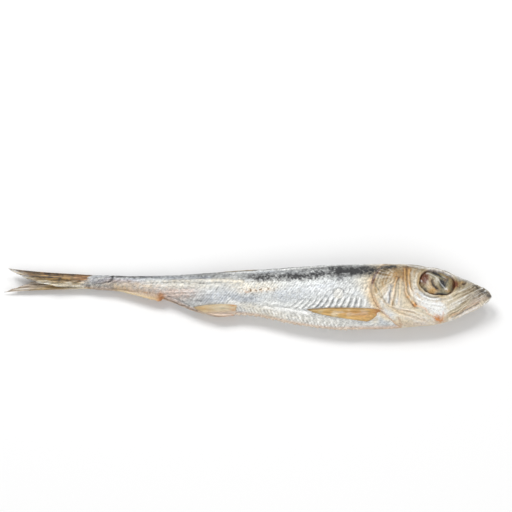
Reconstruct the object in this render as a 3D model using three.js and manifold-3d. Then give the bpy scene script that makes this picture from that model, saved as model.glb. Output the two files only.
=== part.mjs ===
// A dried salted capelin: one small whole fish, lying on its right flank.
//
// The snout points to +X, the back to +Y and the left flank, the one that shows, faces up to +Z.
// The origin is at the middle of the length and of the depth, on the surface that the fish lies on.
// Places on the fish are given by s, the distance back from the tip of the snout, and by y, the height
// above the body's long axis. q runs over the depth at one s, from 0 at the belly to 1 at the back.
// All sizes are in millimetres.

import * as THREE from "three";
import { mergeVertices } from "three/addons/utils/BufferGeometryUtils.js";
import Module from "manifold-3d";

// ---- Driving dimensions ----
const TOTAL_LENGTH = 165; // tip of the snout to the tip of the longer tail lobe
const BODY_DEPTH = 22.4; // back to belly, behind the gills
const BODY_THICKNESS = 11; // flank to flank, at the gills
const FIN_THICKNESS = 0.6;

// The forms below are drawn on a fish of 165 by 22.4 by 11. place() brings them to the sizes above.
const LENGTH_UNIT = TOTAL_LENGTH / 165;
const DEPTH_UNIT = BODY_DEPTH / 22.4;
const THICKNESS_UNIT = BODY_THICKNESS / 11;
const TAIL_TIP = 165;
const TRUNK_END = 139; // where the flesh runs out between the tail's rays

// ---- The body's outline, one row for each landmark ----
// back and belly: y of the two outlines. half: half the thickness. mid: height of the mid-plane over
// the table. keel and crown: how sharp the section is at the belly and at the back, 0 square, 1 a wedge.
const LANDMARKS = [
  { name: "snout tip", s: 0, back: 0.4, belly: -0.7, half: 0.7, mid: 5.9, keel: 0.4, crown: 0.4 },
  { name: "lips", s: 1.5, back: 2.0, belly: -2.0, half: 1.5, mid: 5.9, keel: 0.4, crown: 0.36 },
  { name: "nostril", s: 5.6, back: 4.0, belly: -4.6, half: 2.7, mid: 5.8, keel: 0.44, crown: 0.32 },
  { name: "forehead", s: 10.6, back: 6.1, belly: -6.8, half: 3.7, mid: 5.7, keel: 0.48, crown: 0.28 },
  { name: "jaw corner", s: 18.5, back: 9.0, belly: -9.6, half: 4.8, mid: 5.5, keel: 0.5, crown: 0.24 },
  { name: "nape", s: 27, back: 10.5, belly: -10.5, half: 5.3, mid: 5.3, keel: 0.52, crown: 0.28 },
  { name: "gill cover", s: 37.5, back: 11.2, belly: -11.2, half: 5.5, mid: 5.1, keel: 0.6, crown: 0.36 },
  { name: "shoulder", s: 51, back: 11.1, belly: -11.2, half: 5.2, mid: 4.8, keel: 0.7, crown: 0.42 },
  { name: "end of ribs", s: 64.5, back: 10.5, belly: -9.6, half: 4.8, mid: 4.5, keel: 0.72, crown: 0.44 },
  { name: "pelvic root", s: 81.3, back: 9.4, belly: -6.1, half: 4.1, mid: 4.0, keel: 0.7, crown: 0.44 },
  { name: "pelvic tip", s: 98, back: 8.6, belly: -5.1, half: 3.3, mid: 3.4, keel: 0.66, crown: 0.46 },
  { name: "vent", s: 106, back: 8.2, belly: -2.0, half: 3.0, mid: 3.1, keel: 0.56, crown: 0.46 },
  { name: "anal fin", s: 115, back: 7.9, belly: 1.1, half: 2.6, mid: 2.9, keel: 0.5, crown: 0.46 },
  { name: "tail stalk", s: 125, back: 8.0, belly: 2.8, half: 2.2, mid: 2.6, keel: 0.46, crown: 0.46 },
  { name: "tail root", s: 134, back: 8.4, belly: 3.4, half: 1.5, mid: 2.5, keel: 0.46, crown: 0.46 },
  { name: "trunk end", s: 139, back: 7.6, belly: 4.2, half: 0.5, mid: 2.5, keel: 0.46, crown: 0.46 },
];

// ---- Forms of the head and flank ----
// The gill cover's free edge is an arc, furthest back at q. It stands off the trunk behind it.
const GILL = { s: 40.6, q: 0.56, sweep: 30, lift: 0.55, liftLength: 9, step: 0.5 };
const CHEEK = { s: 29.5, q: 0.7, sweep: 26, width: 1.1, height: 0.3 };
const SOCKET = { s: 19, y: 3.6, length: 5.6, height: 4.6, depth: 1.9, tilt: 12 };
const EYEBALL = { length: 4.8, height: 3.9, depth: 1.6, sunk: 1.2 };
const MOUTH = { fromS: 0.8, fromY: 0.4, toS: 16.7, toY: -7.6, width: 0.7, depth: 0.4 };
const BELLY_HOLLOW = { q: 0.33, spread: 0.12, depth: 0.5, fromS: 44, toS: 88 };
const BACK_GROOVE = { q: 0.86, spread: 0.06, depth: 0.4, fromS: 26, toS: 118 };

// ---- How finely the solid is faceted ----
const HEAD_RINGS = 38;
const TRUNK_RINGS = 48;
const DEPTH_STEPS = 20;
const FIN_STEPS = 12;
const FIN_RAYS = 6;
const EYE_STEPS = 24;

// ---- Small helpers ----
const mix = (from, to, share) => from + (to - from) * share;
const bell = (distance, width) => Math.exp(-((distance / width) ** 2));

// 1 between from and to, fading to 0 over the fade length outside them.
const between = (value, from, to, fade) =>
  THREE.MathUtils.smoothstep(value, from - fade, from) * (1 - THREE.MathUtils.smoothstep(value, to, to + fade));

// A curve through the stations: cubic between them, with slopes that never overshoot.
function curveThrough(stations) {
  const secants = stations.slice(1).map(([x, value], i) => (value - stations[i][1]) / (x - stations[i][0]));
  const slopes = stations.map((_, i) => {
    const before = secants[Math.max(i - 1, 0)];
    const after = secants[Math.min(i, secants.length - 1)];
    return before * after > 0 ? (2 * before * after) / (before + after) : 0;
  });
  return (x) => {
    const last = stations.length - 2;
    const i = THREE.MathUtils.clamp(stations.findLastIndex(([start]) => start <= x), 0, last);
    const [x0, y0] = stations[i];
    const [x1, y1] = stations[i + 1];
    const width = x1 - x0;
    const t = THREE.MathUtils.clamp((x - x0) / width, 0, 1);
    const held = t * t * (3 - 2 * t);
    const bend = slopes[i] * t * (1 - t) ** 2 - slopes[i + 1] * t * t * (1 - t);
    return mix(y0, y1, held) + bend * width;
  };
}

const landmarkCurve = (field) => curveThrough(LANDMARKS.map((mark) => [mark.s, mark[field]]));
const backLine = landmarkCurve("back");
const bellyLine = landmarkCurve("belly");
const halfThickness = landmarkCurve("half");
const midPlane = landmarkCurve("mid");
const keelSharpness = landmarkCurve("keel");
const crownSharpness = landmarkCurve("crown");

// ---- The flank ----
const heightAt = (s, q) => mix(bellyLine(s), backLine(s), q);
const depthShare = (s, y) => THREE.MathUtils.clamp((y - bellyLine(s)) / (backLine(s) - bellyLine(s)), 0, 1);
const gillEdge = (q) => GILL.s - GILL.sweep * (q - GILL.q) ** 2;

// The section's half width at q, as a share of the widest: a rounded back and a keeled belly.
function sectionShape(s, q) {
  const keel = keelSharpness(s);
  const crown = crownSharpness(s);
  const peak = (keel / (keel + crown)) ** keel * (crown / (keel + crown)) ** crown;
  return (q ** keel * (1 - q) ** crown) / peak;
}

// The line of the mouth, from the lips down to the corner of the jaw.
function mouthRelief(s, y) {
  const share = THREE.MathUtils.clamp((s - MOUTH.fromS) / (MOUTH.toS - MOUTH.fromS), 0, 1);
  const line = mix(MOUTH.fromY, MOUTH.toY, share);
  return -MOUTH.depth * bell(y - line, MOUTH.width) * between(s, MOUTH.fromS, MOUTH.toS, 1);
}

function headRelief(s, y, q) {
  const toEdge = gillEdge(q) - s;
  const cover = GILL.lift * bell(toEdge, GILL.liftLength);
  const cheekEdge = CHEEK.s - CHEEK.sweep * (CHEEK.q - q) ** 2;
  const cheek = CHEEK.height * bell(s - cheekEdge, CHEEK.width);
  return cover + cheek + mouthRelief(s, y);
}

function trunkRelief(s, q) {
  const hollow = BELLY_HOLLOW.depth * bell(q - BELLY_HOLLOW.q, BELLY_HOLLOW.spread);
  const groove = BACK_GROOVE.depth * bell(q - BACK_GROOVE.q, BACK_GROOVE.spread);
  return (
    -hollow * between(s, BELLY_HOLLOW.fromS, BELLY_HOLLOW.toS, 8) -
    groove * between(s, BACK_GROOVE.fromS, BACK_GROOVE.toS, 8)
  );
}

// Half the flesh's thickness at one point of the flank. Relief fades out at the two edges.
function flesh(s, q, onHead) {
  const smooth = halfThickness(s) * sectionShape(s, q);
  const relief = onHead ? headRelief(s, heightAt(s, q), q) : trunkRelief(s, q);
  const inside = Math.min(1, 8 * q * (1 - q));
  return smooth + Math.max(relief * inside, -0.7 * smooth);
}

// Height of the flank over the table. side is 1 on the flank that shows and -1 on the one below,
// which is pressed flat where it lies on the table.
const flankHeight = (s, q, side, onHead = false) => Math.max(0, midPlane(s) + side * flesh(s, q, onHead));
const place = (s, y, z) =>
  new THREE.Vector3(TOTAL_LENGTH / 2 - s * LENGTH_UNIT, y * DEPTH_UNIT, z * THICKNESS_UNIT);

// ---- Making closed solids ----
const wasm = await Module();
wasm.setup();

function solidOf(geometry) {
  const merged = mergeVertices(geometry, 1e-4);
  return new wasm.Manifold(
    new wasm.Mesh({
      numProp: 3,
      vertProperties: merged.attributes.position.array,
      triVerts: new Uint32Array(merged.index.array),
    }),
  );
}

const solidFrom = (points, triangles) =>
  solidOf(new THREE.BufferGeometry().setFromPoints(points).setIndex(triangles));

// Joins rings of equally many points into a skin, and closes it with a fan at each end.
function loft(rings) {
  const count = rings[0].length;
  const points = rings.flat();
  const triangles = [];
  for (let r = 0; r + 1 < rings.length; r++) {
    for (let k = 0; k < count; k++) {
      const a = r * count + k;
      const b = r * count + ((k + 1) % count);
      triangles.push(a, b, a + count, b, b + count, a + count);
    }
  }
  for (const [ring, start, turned] of [
    [rings[0], 0, true],
    [rings.at(-1), points.length - count, false],
  ]) {
    const middle = ring.reduce((sum, point) => sum.add(point), new THREE.Vector3()).divideScalar(count);
    const hub = points.push(middle) - 1;
    for (let k = 0; k < count; k++) {
      const a = start + k;
      const b = start + ((k + 1) % count);
      triangles.push(hub, ...(turned ? [b, a] : [a, b]));
    }
  }
  return solidFrom(points, triangles);
}

// One cross-section: up the flank that shows from belly to back, and down the other.
function ring(sAt, onHead) {
  const points = [];
  for (const side of [1, -1]) {
    for (let k = 0; k < DEPTH_STEPS; k++) {
      const turn = (Math.PI * k) / DEPTH_STEPS;
      const q = (1 - side * Math.cos(turn)) / 2;
      const s = sAt(q);
      points.push(place(s, heightAt(s, q), flankHeight(s, q, side, onHead)));
    }
  }
  return points;
}

// The body in one loft. The rings lean back until one lies along the gill cover's edge, and the next
// one drops to the trunk behind it.
function makeBody() {
  const rings = [];
  for (let r = 0; r <= HEAD_RINGS; r++) {
    const share = (r / HEAD_RINGS) ** 1.15;
    rings.push(ring((q) => gillEdge(q) * share, true));
  }
  for (let r = 0; r <= TRUNK_RINGS; r++) {
    const share = (r / TRUNK_RINGS) ** 1.1;
    rings.push(ring((q) => mix(gillEdge(q) + GILL.step, TRUNK_END, share), false));
  }
  return loft(rings);
}

// ---- Eyes ----
// A flattened ball at the eye, turned to look out of the flank a little towards the back.
function ballAtEye(side, size, sunk) {
  const tilt = THREE.MathUtils.degToRad(SOCKET.tilt);
  const ball = new THREE.SphereGeometry(1, EYE_STEPS, EYE_STEPS / 2);
  ball.deleteAttribute("normal");
  ball.deleteAttribute("uv");
  ball.scale(size.length * LENGTH_UNIT, size.height * DEPTH_UNIT, size.depth);
  ball.translate(0, 0, -sunk);
  ball.rotateX(side > 0 ? -tilt : Math.PI + tilt);
  const surface = flankHeight(SOCKET.s, depthShare(SOCKET.s, SOCKET.y), side);
  ball.translate(...place(SOCKET.s, SOCKET.y, surface).toArray());
  return solidOf(ball);
}

// The ball of each eye has shrunk to a low dome in the bottom of its socket.
const addEye = (fish, side) =>
  fish.subtract(ballAtEye(side, SOCKET, 0)).add(ballAtEye(side, EYEBALL, EYEBALL.sunk));

// ---- Fins ----
// A fin is a thin blade. Its rays fan out from the root line to the margin, an arc from the tip of the
// first ray to the tip of the last. Each point is [s, y]. bow bends the rays, height gives z.
function makeFin({ root, margin, bow = [0, 0], height }) {
  const [rootFirst, rootLast] = root.map((point) => new THREE.Vector2(...point));
  const arc = new THREE.QuadraticBezierCurve(...margin.map((point) => new THREE.Vector2(...point)));
  const faces = [];
  for (const face of [1, -1]) {
    for (let i = 0; i <= FIN_STEPS; i++) {
      for (let j = 0; j <= FIN_RAYS; j++) {
        const along = i / FIN_STEPS;
        const across = j / FIN_RAYS;
        const at = rootFirst.clone().lerp(rootLast, across).lerp(arc.getPoint(across), along);
        const y = at.y + mix(bow[0], bow[1], across) * 4 * along * (1 - along);
        const half = (FIN_THICKNESS / 2) * mix(1, 0.6, along);
        faces.push(place(at.x, y, Math.max(0, height(at.x, y, along, across)) + half + face * half));
      }
    }
  }
  const wide = FIN_RAYS + 1;
  const layer = wide * (FIN_STEPS + 1);
  const triangles = [];
  const quad = (a, b, c, d) => triangles.push(a, b, c, a, c, d);
  for (let i = 0; i < FIN_STEPS; i++) {
    for (let j = 0; j < FIN_RAYS; j++) {
      const a = i * wide + j;
      quad(a, a + wide, a + wide + 1, a + 1);
      quad(layer + a, layer + a + 1, layer + a + wide + 1, layer + a + wide);
    }
    const first = i * wide;
    const last = first + FIN_RAYS;
    quad(first, layer + first, layer + first + wide, first + wide);
    quad(last, last + wide, layer + last + wide, layer + last);
  }
  for (let j = 0; j < FIN_RAYS; j++) {
    const near = j;
    const far = FIN_STEPS * wide + j;
    quad(near, near + 1, layer + near + 1, layer + near);
    quad(far, layer + far, layer + far + 1, far + 1);
  }
  const made = solidFrom(faces, triangles);
  return made.volume() < 0 ? solidFrom(faces, triangles.reverse()) : made;
}

// A fin of a pair lies against the flank, half sunk in the dried skin.
const onFlank = (side, sunk) => (s, y) =>
  flankHeight(s, depthShare(s, y), side) + (side > 0 ? -sunk : sunk - FIN_THICKNESS);

// The tail's lobes leave the stalk's mid-plane, and rise or sink towards their tips.
const fromMidPlane = (rise, wave) => (s, y, along, across) =>
  midPlane(s) - FIN_THICKNESS / 2 + rise * along ** 2 + wave * Math.sin(Math.PI * (along * 2 + across));

const FINS = {
  pectoral: {
    root: [[37.6, -5.8], [41.4, -9.0]],
    margin: [[62.1, -5.5], [55, -7.2], [47, -8.8]],
    bow: [0.9, 0],
  },
  pelvic: {
    root: [[85.8, -3.0], [86.4, -5.3]],
    margin: [[100.8, -3.9], [98, -5.1], [93, -5.8]],
    bow: [0.5, -0.2],
  },
};
const upperLobe = {
  root: [[132, 8.2], [132, 5.6]],
  margin: [[163.4, 10.1], [160, 7.4], [154.4, 6.4]],
  bow: [-0.4, 0],
  height: fromMidPlane(1.5, 0.25),
};
const lowerLobe = {
  root: [[132, 6.1], [132, 3.5]],
  margin: [[154.4, 6.2], [160.4, 4.9], [TAIL_TIP, 2.8]],
  bow: [0, 0.3],
  height: fromMidPlane(-1.6, 0.15),
};
const analFin = {
  root: [[110.5, 1.1], [125.5, 3.9]],
  margin: [[111.5, -1.4], [119, 0.2], [127.5, 2.6]],
  height: fromMidPlane(-0.4, 0.15),
};
const dorsalFin = {
  root: [[72, 9.4], [87, 8.3]],
  margin: [[88.5, 9.7], [94, 9.2], [97, 8.7]],
  bow: [0.3, 0.1],
  height: fromMidPlane(-1.4, 0.1),
};

function makeFish() {
  const unpaired = [upperLobe, lowerLobe, analFin, dorsalFin].map(makeFin);
  const paired = Object.values(FINS).flatMap((fin) =>
    [1, -1].map((side) => makeFin({ ...fin, height: onFlank(side, 0.15) })),
  );
  const body = [1, -1].reduce(addEye, makeBody());
  return [...unpaired, ...paired].reduce((fish, fin) => fish.add(fin), body);
}

function geometryOf(solid) {
  const mesh = solid.getMesh();
  const geometry = new THREE.BufferGeometry();
  geometry.setAttribute("position", new THREE.BufferAttribute(mesh.vertProperties, 3));
  geometry.setIndex(new THREE.BufferAttribute(mesh.triVerts, 1));
  geometry.computeVertexNormals();
  return geometry;
}

const driedSkin = new THREE.MeshStandardMaterial({ color: 0xcfd1cc, roughness: 0.45, metalness: 0.15 });
const fish = new THREE.Mesh(geometryOf(makeFish()), driedSkin);
fish.name = "dried_fish";

const capelin = new THREE.Group();
capelin.add(fish);

export default capelin;
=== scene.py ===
"""A dried salted capelin, dressed: skin, eyes, fins and belly scutes, on a pale studio floor.

The solid in the frame gives the sizes. Places on the fish are given as on the solid: s is the distance
back from the tip of the snout, y the height above the body's long axis, and q the share of the depth,
from 0 at the belly to 1 at the back. The left flank shows and faces up. All of these are in millimetres
until a mesh is made.
"""

import math

import bpy
import numpy as np
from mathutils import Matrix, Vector


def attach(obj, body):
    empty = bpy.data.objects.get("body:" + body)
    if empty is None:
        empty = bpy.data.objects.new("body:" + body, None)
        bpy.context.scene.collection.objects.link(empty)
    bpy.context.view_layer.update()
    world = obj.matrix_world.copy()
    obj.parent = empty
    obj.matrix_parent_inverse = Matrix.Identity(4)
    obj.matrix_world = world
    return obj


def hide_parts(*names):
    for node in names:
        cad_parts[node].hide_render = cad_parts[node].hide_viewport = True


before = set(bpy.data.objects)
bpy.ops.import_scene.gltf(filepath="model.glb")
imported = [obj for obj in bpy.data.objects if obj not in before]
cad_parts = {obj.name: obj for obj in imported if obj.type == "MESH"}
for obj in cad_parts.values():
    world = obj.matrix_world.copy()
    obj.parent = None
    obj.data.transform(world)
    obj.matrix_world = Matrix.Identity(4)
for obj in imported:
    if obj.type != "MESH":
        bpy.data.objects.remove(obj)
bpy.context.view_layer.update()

MM = 0.001
TOTAL_LENGTH = 165.0
TRUNK_END = 139.0  # where the skin closes, inside the tail's lobes
LOWEST_SKIN = 0.02  # least heights above the floor
LOWEST_FIN = 0.06
SET_DOWN = 0.02  # how far the body is lowered onto the floor
PRESSED = 0.3  # below this height the flank is pressed flat
SENSOR = 36.0  # width of the camera's sensor

# s, back, belly, half thickness, height of the mid-plane, sharpness of the belly and of the back
LANDMARKS = np.array([
    (0, 0.4, -0.7, 0.7, 5.9, 0.4, 0.4),  # snout tip
    (1.5, 2, -2, 1.5, 5.9, 0.4, 0.36),  # lips
    (5.6, 4, -4.6, 2.7, 5.8, 0.44, 0.32),  # nostril
    (10.6, 6.1, -6.8, 3.7, 5.7, 0.48, 0.28),  # forehead
    (18.5, 9, -9.6, 4.8, 5.5, 0.5, 0.24),  # jaw corner
    (27, 10.5, -10.5, 5.3, 5.3, 0.52, 0.28),  # nape
    (37.5, 11.2, -11.2, 5.5, 5.1, 0.6, 0.36),  # gill cover
    (51, 11.1, -11.2, 5.2, 4.8, 0.7, 0.42),  # shoulder
    (64.5, 10.5, -9.6, 4.8, 4.5, 0.72, 0.44),  # end of the ribs
    (81.3, 9.4, -6.1, 4.1, 4, 0.7, 0.44),  # root of the pelvic fin
    (98, 8.6, -5.1, 3.3, 3.4, 0.66, 0.46),  # tip of the pelvic fin
    (106, 8.2, -2, 3, 3.1, 0.56, 0.46),  # vent
    (115, 7.9, 1.1, 2.6, 2.9, 0.5, 0.46),  # anal fin
    (125, 8, 2.8, 2.2, 2.6, 0.46, 0.46),  # tail stalk
    (134, 8.4, 3.4, 1.5, 2.5, 0.46, 0.46),  # tail root
    (139, 7.6, 4.2, 0.5, 2.5, 0.46, 0.46),  # end of the trunk
])


# ---------------------------------------------------------------- numbers and noise
def mix(a, b, share):
    return a + (b - a) * share


def bell(distance, width):
    return np.exp(-((distance / width) ** 2))


def rise(value, start, end):
    """0 before start, 1 after end, and smooth between them."""
    t = np.clip((value - start) / (end - start), 0, 1)
    return t * t * (3 - 2 * t)


def span(value, start, end, fade):
    """1 from start to end, fading to 0 over the fade length outside them."""
    return rise(value, start - fade, start) * (1 - rise(value, end, end + fade))


def curve_through(places, values):
    """A smooth curve through the stations that never overshoots them."""
    places, values = np.asarray(places, float), np.asarray(values, float)
    steps = np.diff(values) / np.diff(places)
    before = np.r_[steps[0], steps]
    after = np.r_[steps, steps[-1]]
    same_way = before * after > 0
    slopes = np.where(same_way, 2 * before * after / np.where(same_way, before + after, 1), 0)

    def at(x):
        i = np.clip(np.searchsorted(places, x, side="right") - 1, 0, len(places) - 2)
        width = places[i + 1] - places[i]
        t = np.clip((x - places[i]) / width, 0, 1)
        bend = slopes[i] * t * (1 - t) ** 2 - slopes[i + 1] * t * t * (1 - t)
        return mix(values[i], values[i + 1], t * t * (3 - 2 * t)) + bend * width

    return at


LATTICE = np.random.default_rng(11).random((64, 64, 64)) * 2 - 1
CORNERS = [(a, b, c) for a in (0, 1) for b in (0, 1) for c in (0, 1)]


def noise(points, size, seed=0, octaves=1):
    """Smooth noise, about -1 to 1, with lumps of that size in mm; size may differ along x, y and z."""
    total, weight = 0, 1.0
    spot = points / np.asarray(size, float) + seed * 7.31
    for _ in range(octaves):
        cell = np.floor(spot).astype(int)
        f = spot - cell
        f = f * f * (3 - 2 * f)
        for corner in CORNERS:
            near = np.prod(np.where(corner, f, 1 - f), axis=-1)
            i = (cell + corner) & 63
            total = total + weight * near * LATTICE[i[..., 0], i[..., 1], i[..., 2]]
        spot = spot * 2.03 + 5.7
        weight *= 0.5
    return total


def streaks(along, across, long, fine, seed):
    """Noise drawn out into streaks of that length and width."""
    return noise(np.stack([along / long, across / fine, 0 * along], axis=-1), 1, seed, 2)


def waves(along, spacing, shift=0.0):
    """Even waves, from -1 to 1, with a crest every spacing."""
    return np.cos(2 * np.pi * along / spacing + shift)


def rounded(line, steps=6):
    """A line of points with its corners rounded off."""
    p = np.array(line, float)
    p = np.vstack([2 * p[0] - p[1], p, 2 * p[-1] - p[-2]])
    t = np.linspace(0, 1, steps, endpoint=False)[:, None]
    parts = [
        0.5 * (2 * b + (c - a) * t + (2 * a - 5 * b + 4 * c - d) * t**2 + (3 * b - a - 3 * c + d) * t**3)
        for a, b, c, d in zip(p, p[1:], p[2:], p[3:])
    ]
    return np.vstack([*parts, p[-2:-1]])


def stroke(spots, line, width, shift=0.0):
    """1 on the line, fading out at that width on each side. shift moves it to the line's left."""
    reach = np.full(len(spots), 1e9)
    path = rounded(line)
    for a, b in zip(path, path[1:]):
        way = b - a
        length = np.hypot(*way)
        rel = spots - a
        along = np.clip(rel @ way / length**2, 0, 1)
        off = rel - along[:, None] * way - shift * np.array([-way[1], way[0]]) / length
        reach = np.minimum(reach, np.hypot(off[:, 0], off[:, 1]))
    return bell(reach, width)


def blob(spots, centre, size, turn=0):
    """1 in the middle of an oval and fading out at its edge. turn is in degrees, from s towards y."""
    c, w = math.cos(math.radians(turn)), math.sin(math.radians(turn))
    rel = spots - centre
    along = (rel[:, 0] * c + rel[:, 1] * w) / size[0]
    across = (rel[:, 1] * c - rel[:, 0] * w) / size[1]
    return np.exp(-(along**2 + across**2) ** 1.4)


def added_marks(marks, spots, seen, vary=1.0):
    """Each field's marks added up. A mark on a list of points is a stroke, one on a single point a blob."""
    fields = {}
    for name, several in marks.items():
        total = sum(
            strength * (stroke if isinstance(place, list) else blob)(spots, place, *size)
            for strength, place, *size in several
        )
        fields[name] = total * seen * (1 if name == "relief" else vary)
    return fields


def with_more(fields, more):
    """The fields with more added to some of them."""
    return fields | {name: fields.get(name, 0) + amount for name, amount in more.items()}


# ---------------------------------------------------------------- the body's surface
back_at, belly_at, half_at, mid_at, keel_at, crown_at = (
    curve_through(LANDMARKS[:, 0], LANDMARKS[:, column]) for column in range(1, 7)
)
GILL_BACKMOST = 40.6


def gill_edge(q):
    return GILL_BACKMOST - 30 * (q - 0.56) ** 2


def section_shape(s, q):
    """Half the section's width at q, as a share of the widest."""
    keel, crown = keel_at(s), crown_at(s)
    peak = (keel / (keel + crown)) ** keel * (crown / (keel + crown)) ** crown
    return q**keel * (1 - q) ** crown / peak


def body_point(s, q, side, hollow=0.0, thin=1.0):
    """Where s and q lie on the smooth body. side is 1 on the flank that shows and -1 on the other."""
    flesh = half_at(s) * section_shape(s, q) + hollow * np.minimum(1, 8 * q * (1 - q))
    z = mid_at(s) + side * np.maximum(flesh, 0) * thin
    z = np.where(z > PRESSED, z, PRESSED * np.exp(np.clip(z - PRESSED, -5, 0) / PRESSED))
    y = mix(belly_at(s), back_at(s), q)
    return np.stack([TOTAL_LENGTH / 2 - s, y, z - SET_DOWN], axis=-1)


def depth_share(s, y):
    return np.clip((y - belly_at(s)) / (back_at(s) - belly_at(s)), 0.004, 0.996)


def ring_shares(shown, under):
    """q and side round one section: up the flank that shows, then down the other one."""
    up = (1 - np.cos(np.pi * np.arange(shown) / shown)) / 2
    down = (1 + np.cos(np.pi * np.arange(under) / under)) / 2
    return np.r_[up, down], np.r_[np.ones(shown), -np.ones(under)]


def normals_of(grid):
    """Outward normals of rings of points that run round the body from the snout to the tail."""
    round_it = np.roll(grid, -1, 1) - np.roll(grid, 1, 1)
    normal = np.cross(round_it, np.gradient(grid, axis=0))
    return normal / np.maximum(np.linalg.norm(normal, axis=-1, keepdims=True), 1e-9)


def round_girth(grid, side):
    """The way round from the belly, in mm, up each flank to the back."""
    step = np.linalg.norm(np.roll(grid, -1, 1) - grid, axis=-1)
    along = np.cumsum(step, axis=1) - step
    total = step.sum(axis=1, keepdims=True)
    top = along[:, np.argmin(side)][:, None]
    share = np.where(side > 0, along / top, (total - along) / (total - top))
    return share * total / 2


def dips(relief, reach=4):
    """How far each point stands above or below its neighbourhood, from 0 in a dip to 1 on a crest. The skin's
    colour is painted darker in the dips and lighter on the crests from it: painted shade and painted
    highlight.
    """
    steps = range(-reach, reach + 1)
    mean = sum(np.roll(relief, k, 1) for k in steps) / len(steps)
    rows = np.pad(mean, ((reach, reach), (0, 0)), "edge")
    mean = sum(rows[reach + k: reach + k + len(relief)] for k in steps) / len(steps)
    return np.clip(0.5 + (relief - mean) / 0.24, 0, 1)


def add_mesh(name, points, faces, stains, edges=()):
    """A mesh in metres from points in mm, with each stain as a value on its points."""
    mesh = bpy.data.meshes.new(name)
    mesh.from_pydata((points * MM).tolist(), edges, faces)
    for key, values in stains.items():
        kind, slot = ("FLOAT", "value") if values.ndim == 1 else ("FLOAT_VECTOR", "vector")
        layer = mesh.attributes.new(key, kind, "POINT")
        layer.data.foreach_set(slot, np.ascontiguousarray(values, dtype=np.float32).ravel())
    mesh.shade_smooth()
    mesh.update()
    return placed(name, mesh)


def placed(name, data):
    """A new object in the scene, at the origin."""
    made = bpy.data.objects.new(name, data)
    bpy.context.collection.objects.link(made)
    return made


def ring_faces(rings, count, side=1):
    """Quads between rings of points, and a fan to a hub at each end. side -1 turns them round."""
    r, k = np.meshgrid(np.arange(rings - 1), np.arange(count), indexing="ij")
    a, b = r * count + k, r * count + (k + 1) % count
    quads = np.stack([a, b, b + count, a + count], axis=-1).reshape(-1, 4).tolist()
    first, last, end = rings * count, rings * count + 1, (rings - 1) * count
    fans = [[first, (i + 1) % count, i] for i in range(count)]
    fans += [[last, end + i, end + (i + 1) % count] for i in range(count)]
    return facing(side, quads + fans)


def facing(side, faces):
    """The faces as they are for the flank that shows, and turned round for the other one."""
    return faces if side > 0 else [face[::-1] for face in faces]


def skin_piece(name, s_rows, q, side, hollow, thin, shrink, forms):
    """A closed skin of rings. forms gives relief along the normal, and stains, at every point.

    It is told how far each point faces up or down, from 0 on the back and the belly to 1 on a flank.
    """
    rows, count = s_rows.shape
    q_rows = np.broadcast_to(q, s_rows.shape)
    side_rows = np.broadcast_to(side, s_rows.shape)
    base = body_point(s_rows, q_rows, side_rows, hollow, thin)
    core = np.stack([base[..., 0], (belly_at(s_rows) + back_at(s_rows)) / 2, mid_at(s_rows)], axis=-1)
    base = core + (base - core) * shrink[..., None]
    normals = normals_of(base)
    flat, tilt = base.reshape(-1, 3), np.abs(normals[..., 2]).ravel()
    s, q_all = s_rows.ravel(), q_rows.ravel()
    fields = forms(s, flat[:, 1], q_all, tilt, flat)
    relief = fields.pop("relief").reshape(rows, count)
    stains = {key: np.clip(value, 0, 1) for key, value in fields.items()}
    # crest paints shade into the relief's dips and highlight onto its crests
    stains["crest"] = dips(relief).ravel()
    girth = round_girth(base, side).ravel()
    stains["skin_place"] = np.stack([s, girth, flat[:, 2]], axis=-1)
    grid = base + normals * (relief * shrink**8)[..., None]
    grid[..., 2] = np.maximum(grid[..., 2], LOWEST_SKIN)
    points = np.vstack([grid.reshape(-1, 3), grid[0].mean(0), grid[-1].mean(0)])
    ends = [0, len(s) - 1]
    stains = {key: np.concatenate([v, v[ends]]) for key, v in stains.items()}
    return add_mesh(name, points, ring_faces(rows, count), stains)


def wandered(s, y, p, amount):
    """The points' places, shifted a little, so that no line drawn on them runs true."""
    coarse = np.stack([noise(p, 3, 1, 2), noise(p, 3, 2, 2)], axis=-1)
    fine = np.stack([noise(p, 0.9, 21), noise(p, 0.9, 22)], axis=-1)
    return np.stack([s, y], axis=-1) + amount * (coarse + 0.3 * fine)


# ---------------------------------------------------------------- the head's forms and stains
SOCKET = {"centre": (18.7, 3.65), "size": (6.05, 4.4), "depth": 1.8, "tilt": 10, "squareness": 2.5}
HINGE = (31.8, 5.3)
PREOPERCLE_REAR = [(29.3, 8.2), (29.7, 5.8), (29.7, 2.5), (29, -0.3), (27.7, -2.4), (26.3, -4.2)]
PREOPERCLE_FRONT = [(27.7, 8), (28.4, 5.4), (28.2, 3.5), (27.7, 0.3), (27, -2.1), (26, -4.2)]
CHEEK_FOOT = [(26.2, -4.2), (23.2, -5.3), (21.4, -7), (19, -8)]
OPERCLE_RIB = [(32.3, 4.8), (32.9, 2.8), (33.7, -1.2), (34.1, -4.5)]
OPERCLE_CUT = [(34.1, 2), (34.5, 0.3), (34.7, -3.2)]
OPERCLE_BARS = [(30.9, 4.8), (31.4, 0.3), (31.7, -3.9)]
THROAT_FOLD_A = [(34.4, -4.5), (30.5, -6.8), (25.6, -8.4), (19, -9.3)]
THROAT_FOLD_B = [(33.5, -5.3), (28, -6.2), (23.2, -8.4)]
THROAT_FOLD_C = [(31.7, -8.1), (30.8, -10.4)]
FAN_A = [(39.3, 3.5), (37.4, -0.3), (34.4, -4.5)]
FAN_B = [(39.6, 1.6), (38, -1.8), (34.4, -4.6)]
COVER_ARC = [(34.1, 9.3), (37.1, 6.8), (39.1, 3.8), (39.6, 1.6), (38.7, -0.6), (36.5, -3)]
UNDER_EYE = [(24.9, 0.9), (22.9, -0.7), (21.4, -1.3), (19.6, -1.6), (17.2, -1.2)]
WHITE_CHEEK = [(26, -0.8), (23.2, -2.3), (20.8, -3.9), (18.4, -5.4), (16.8, -6.4)]
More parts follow.
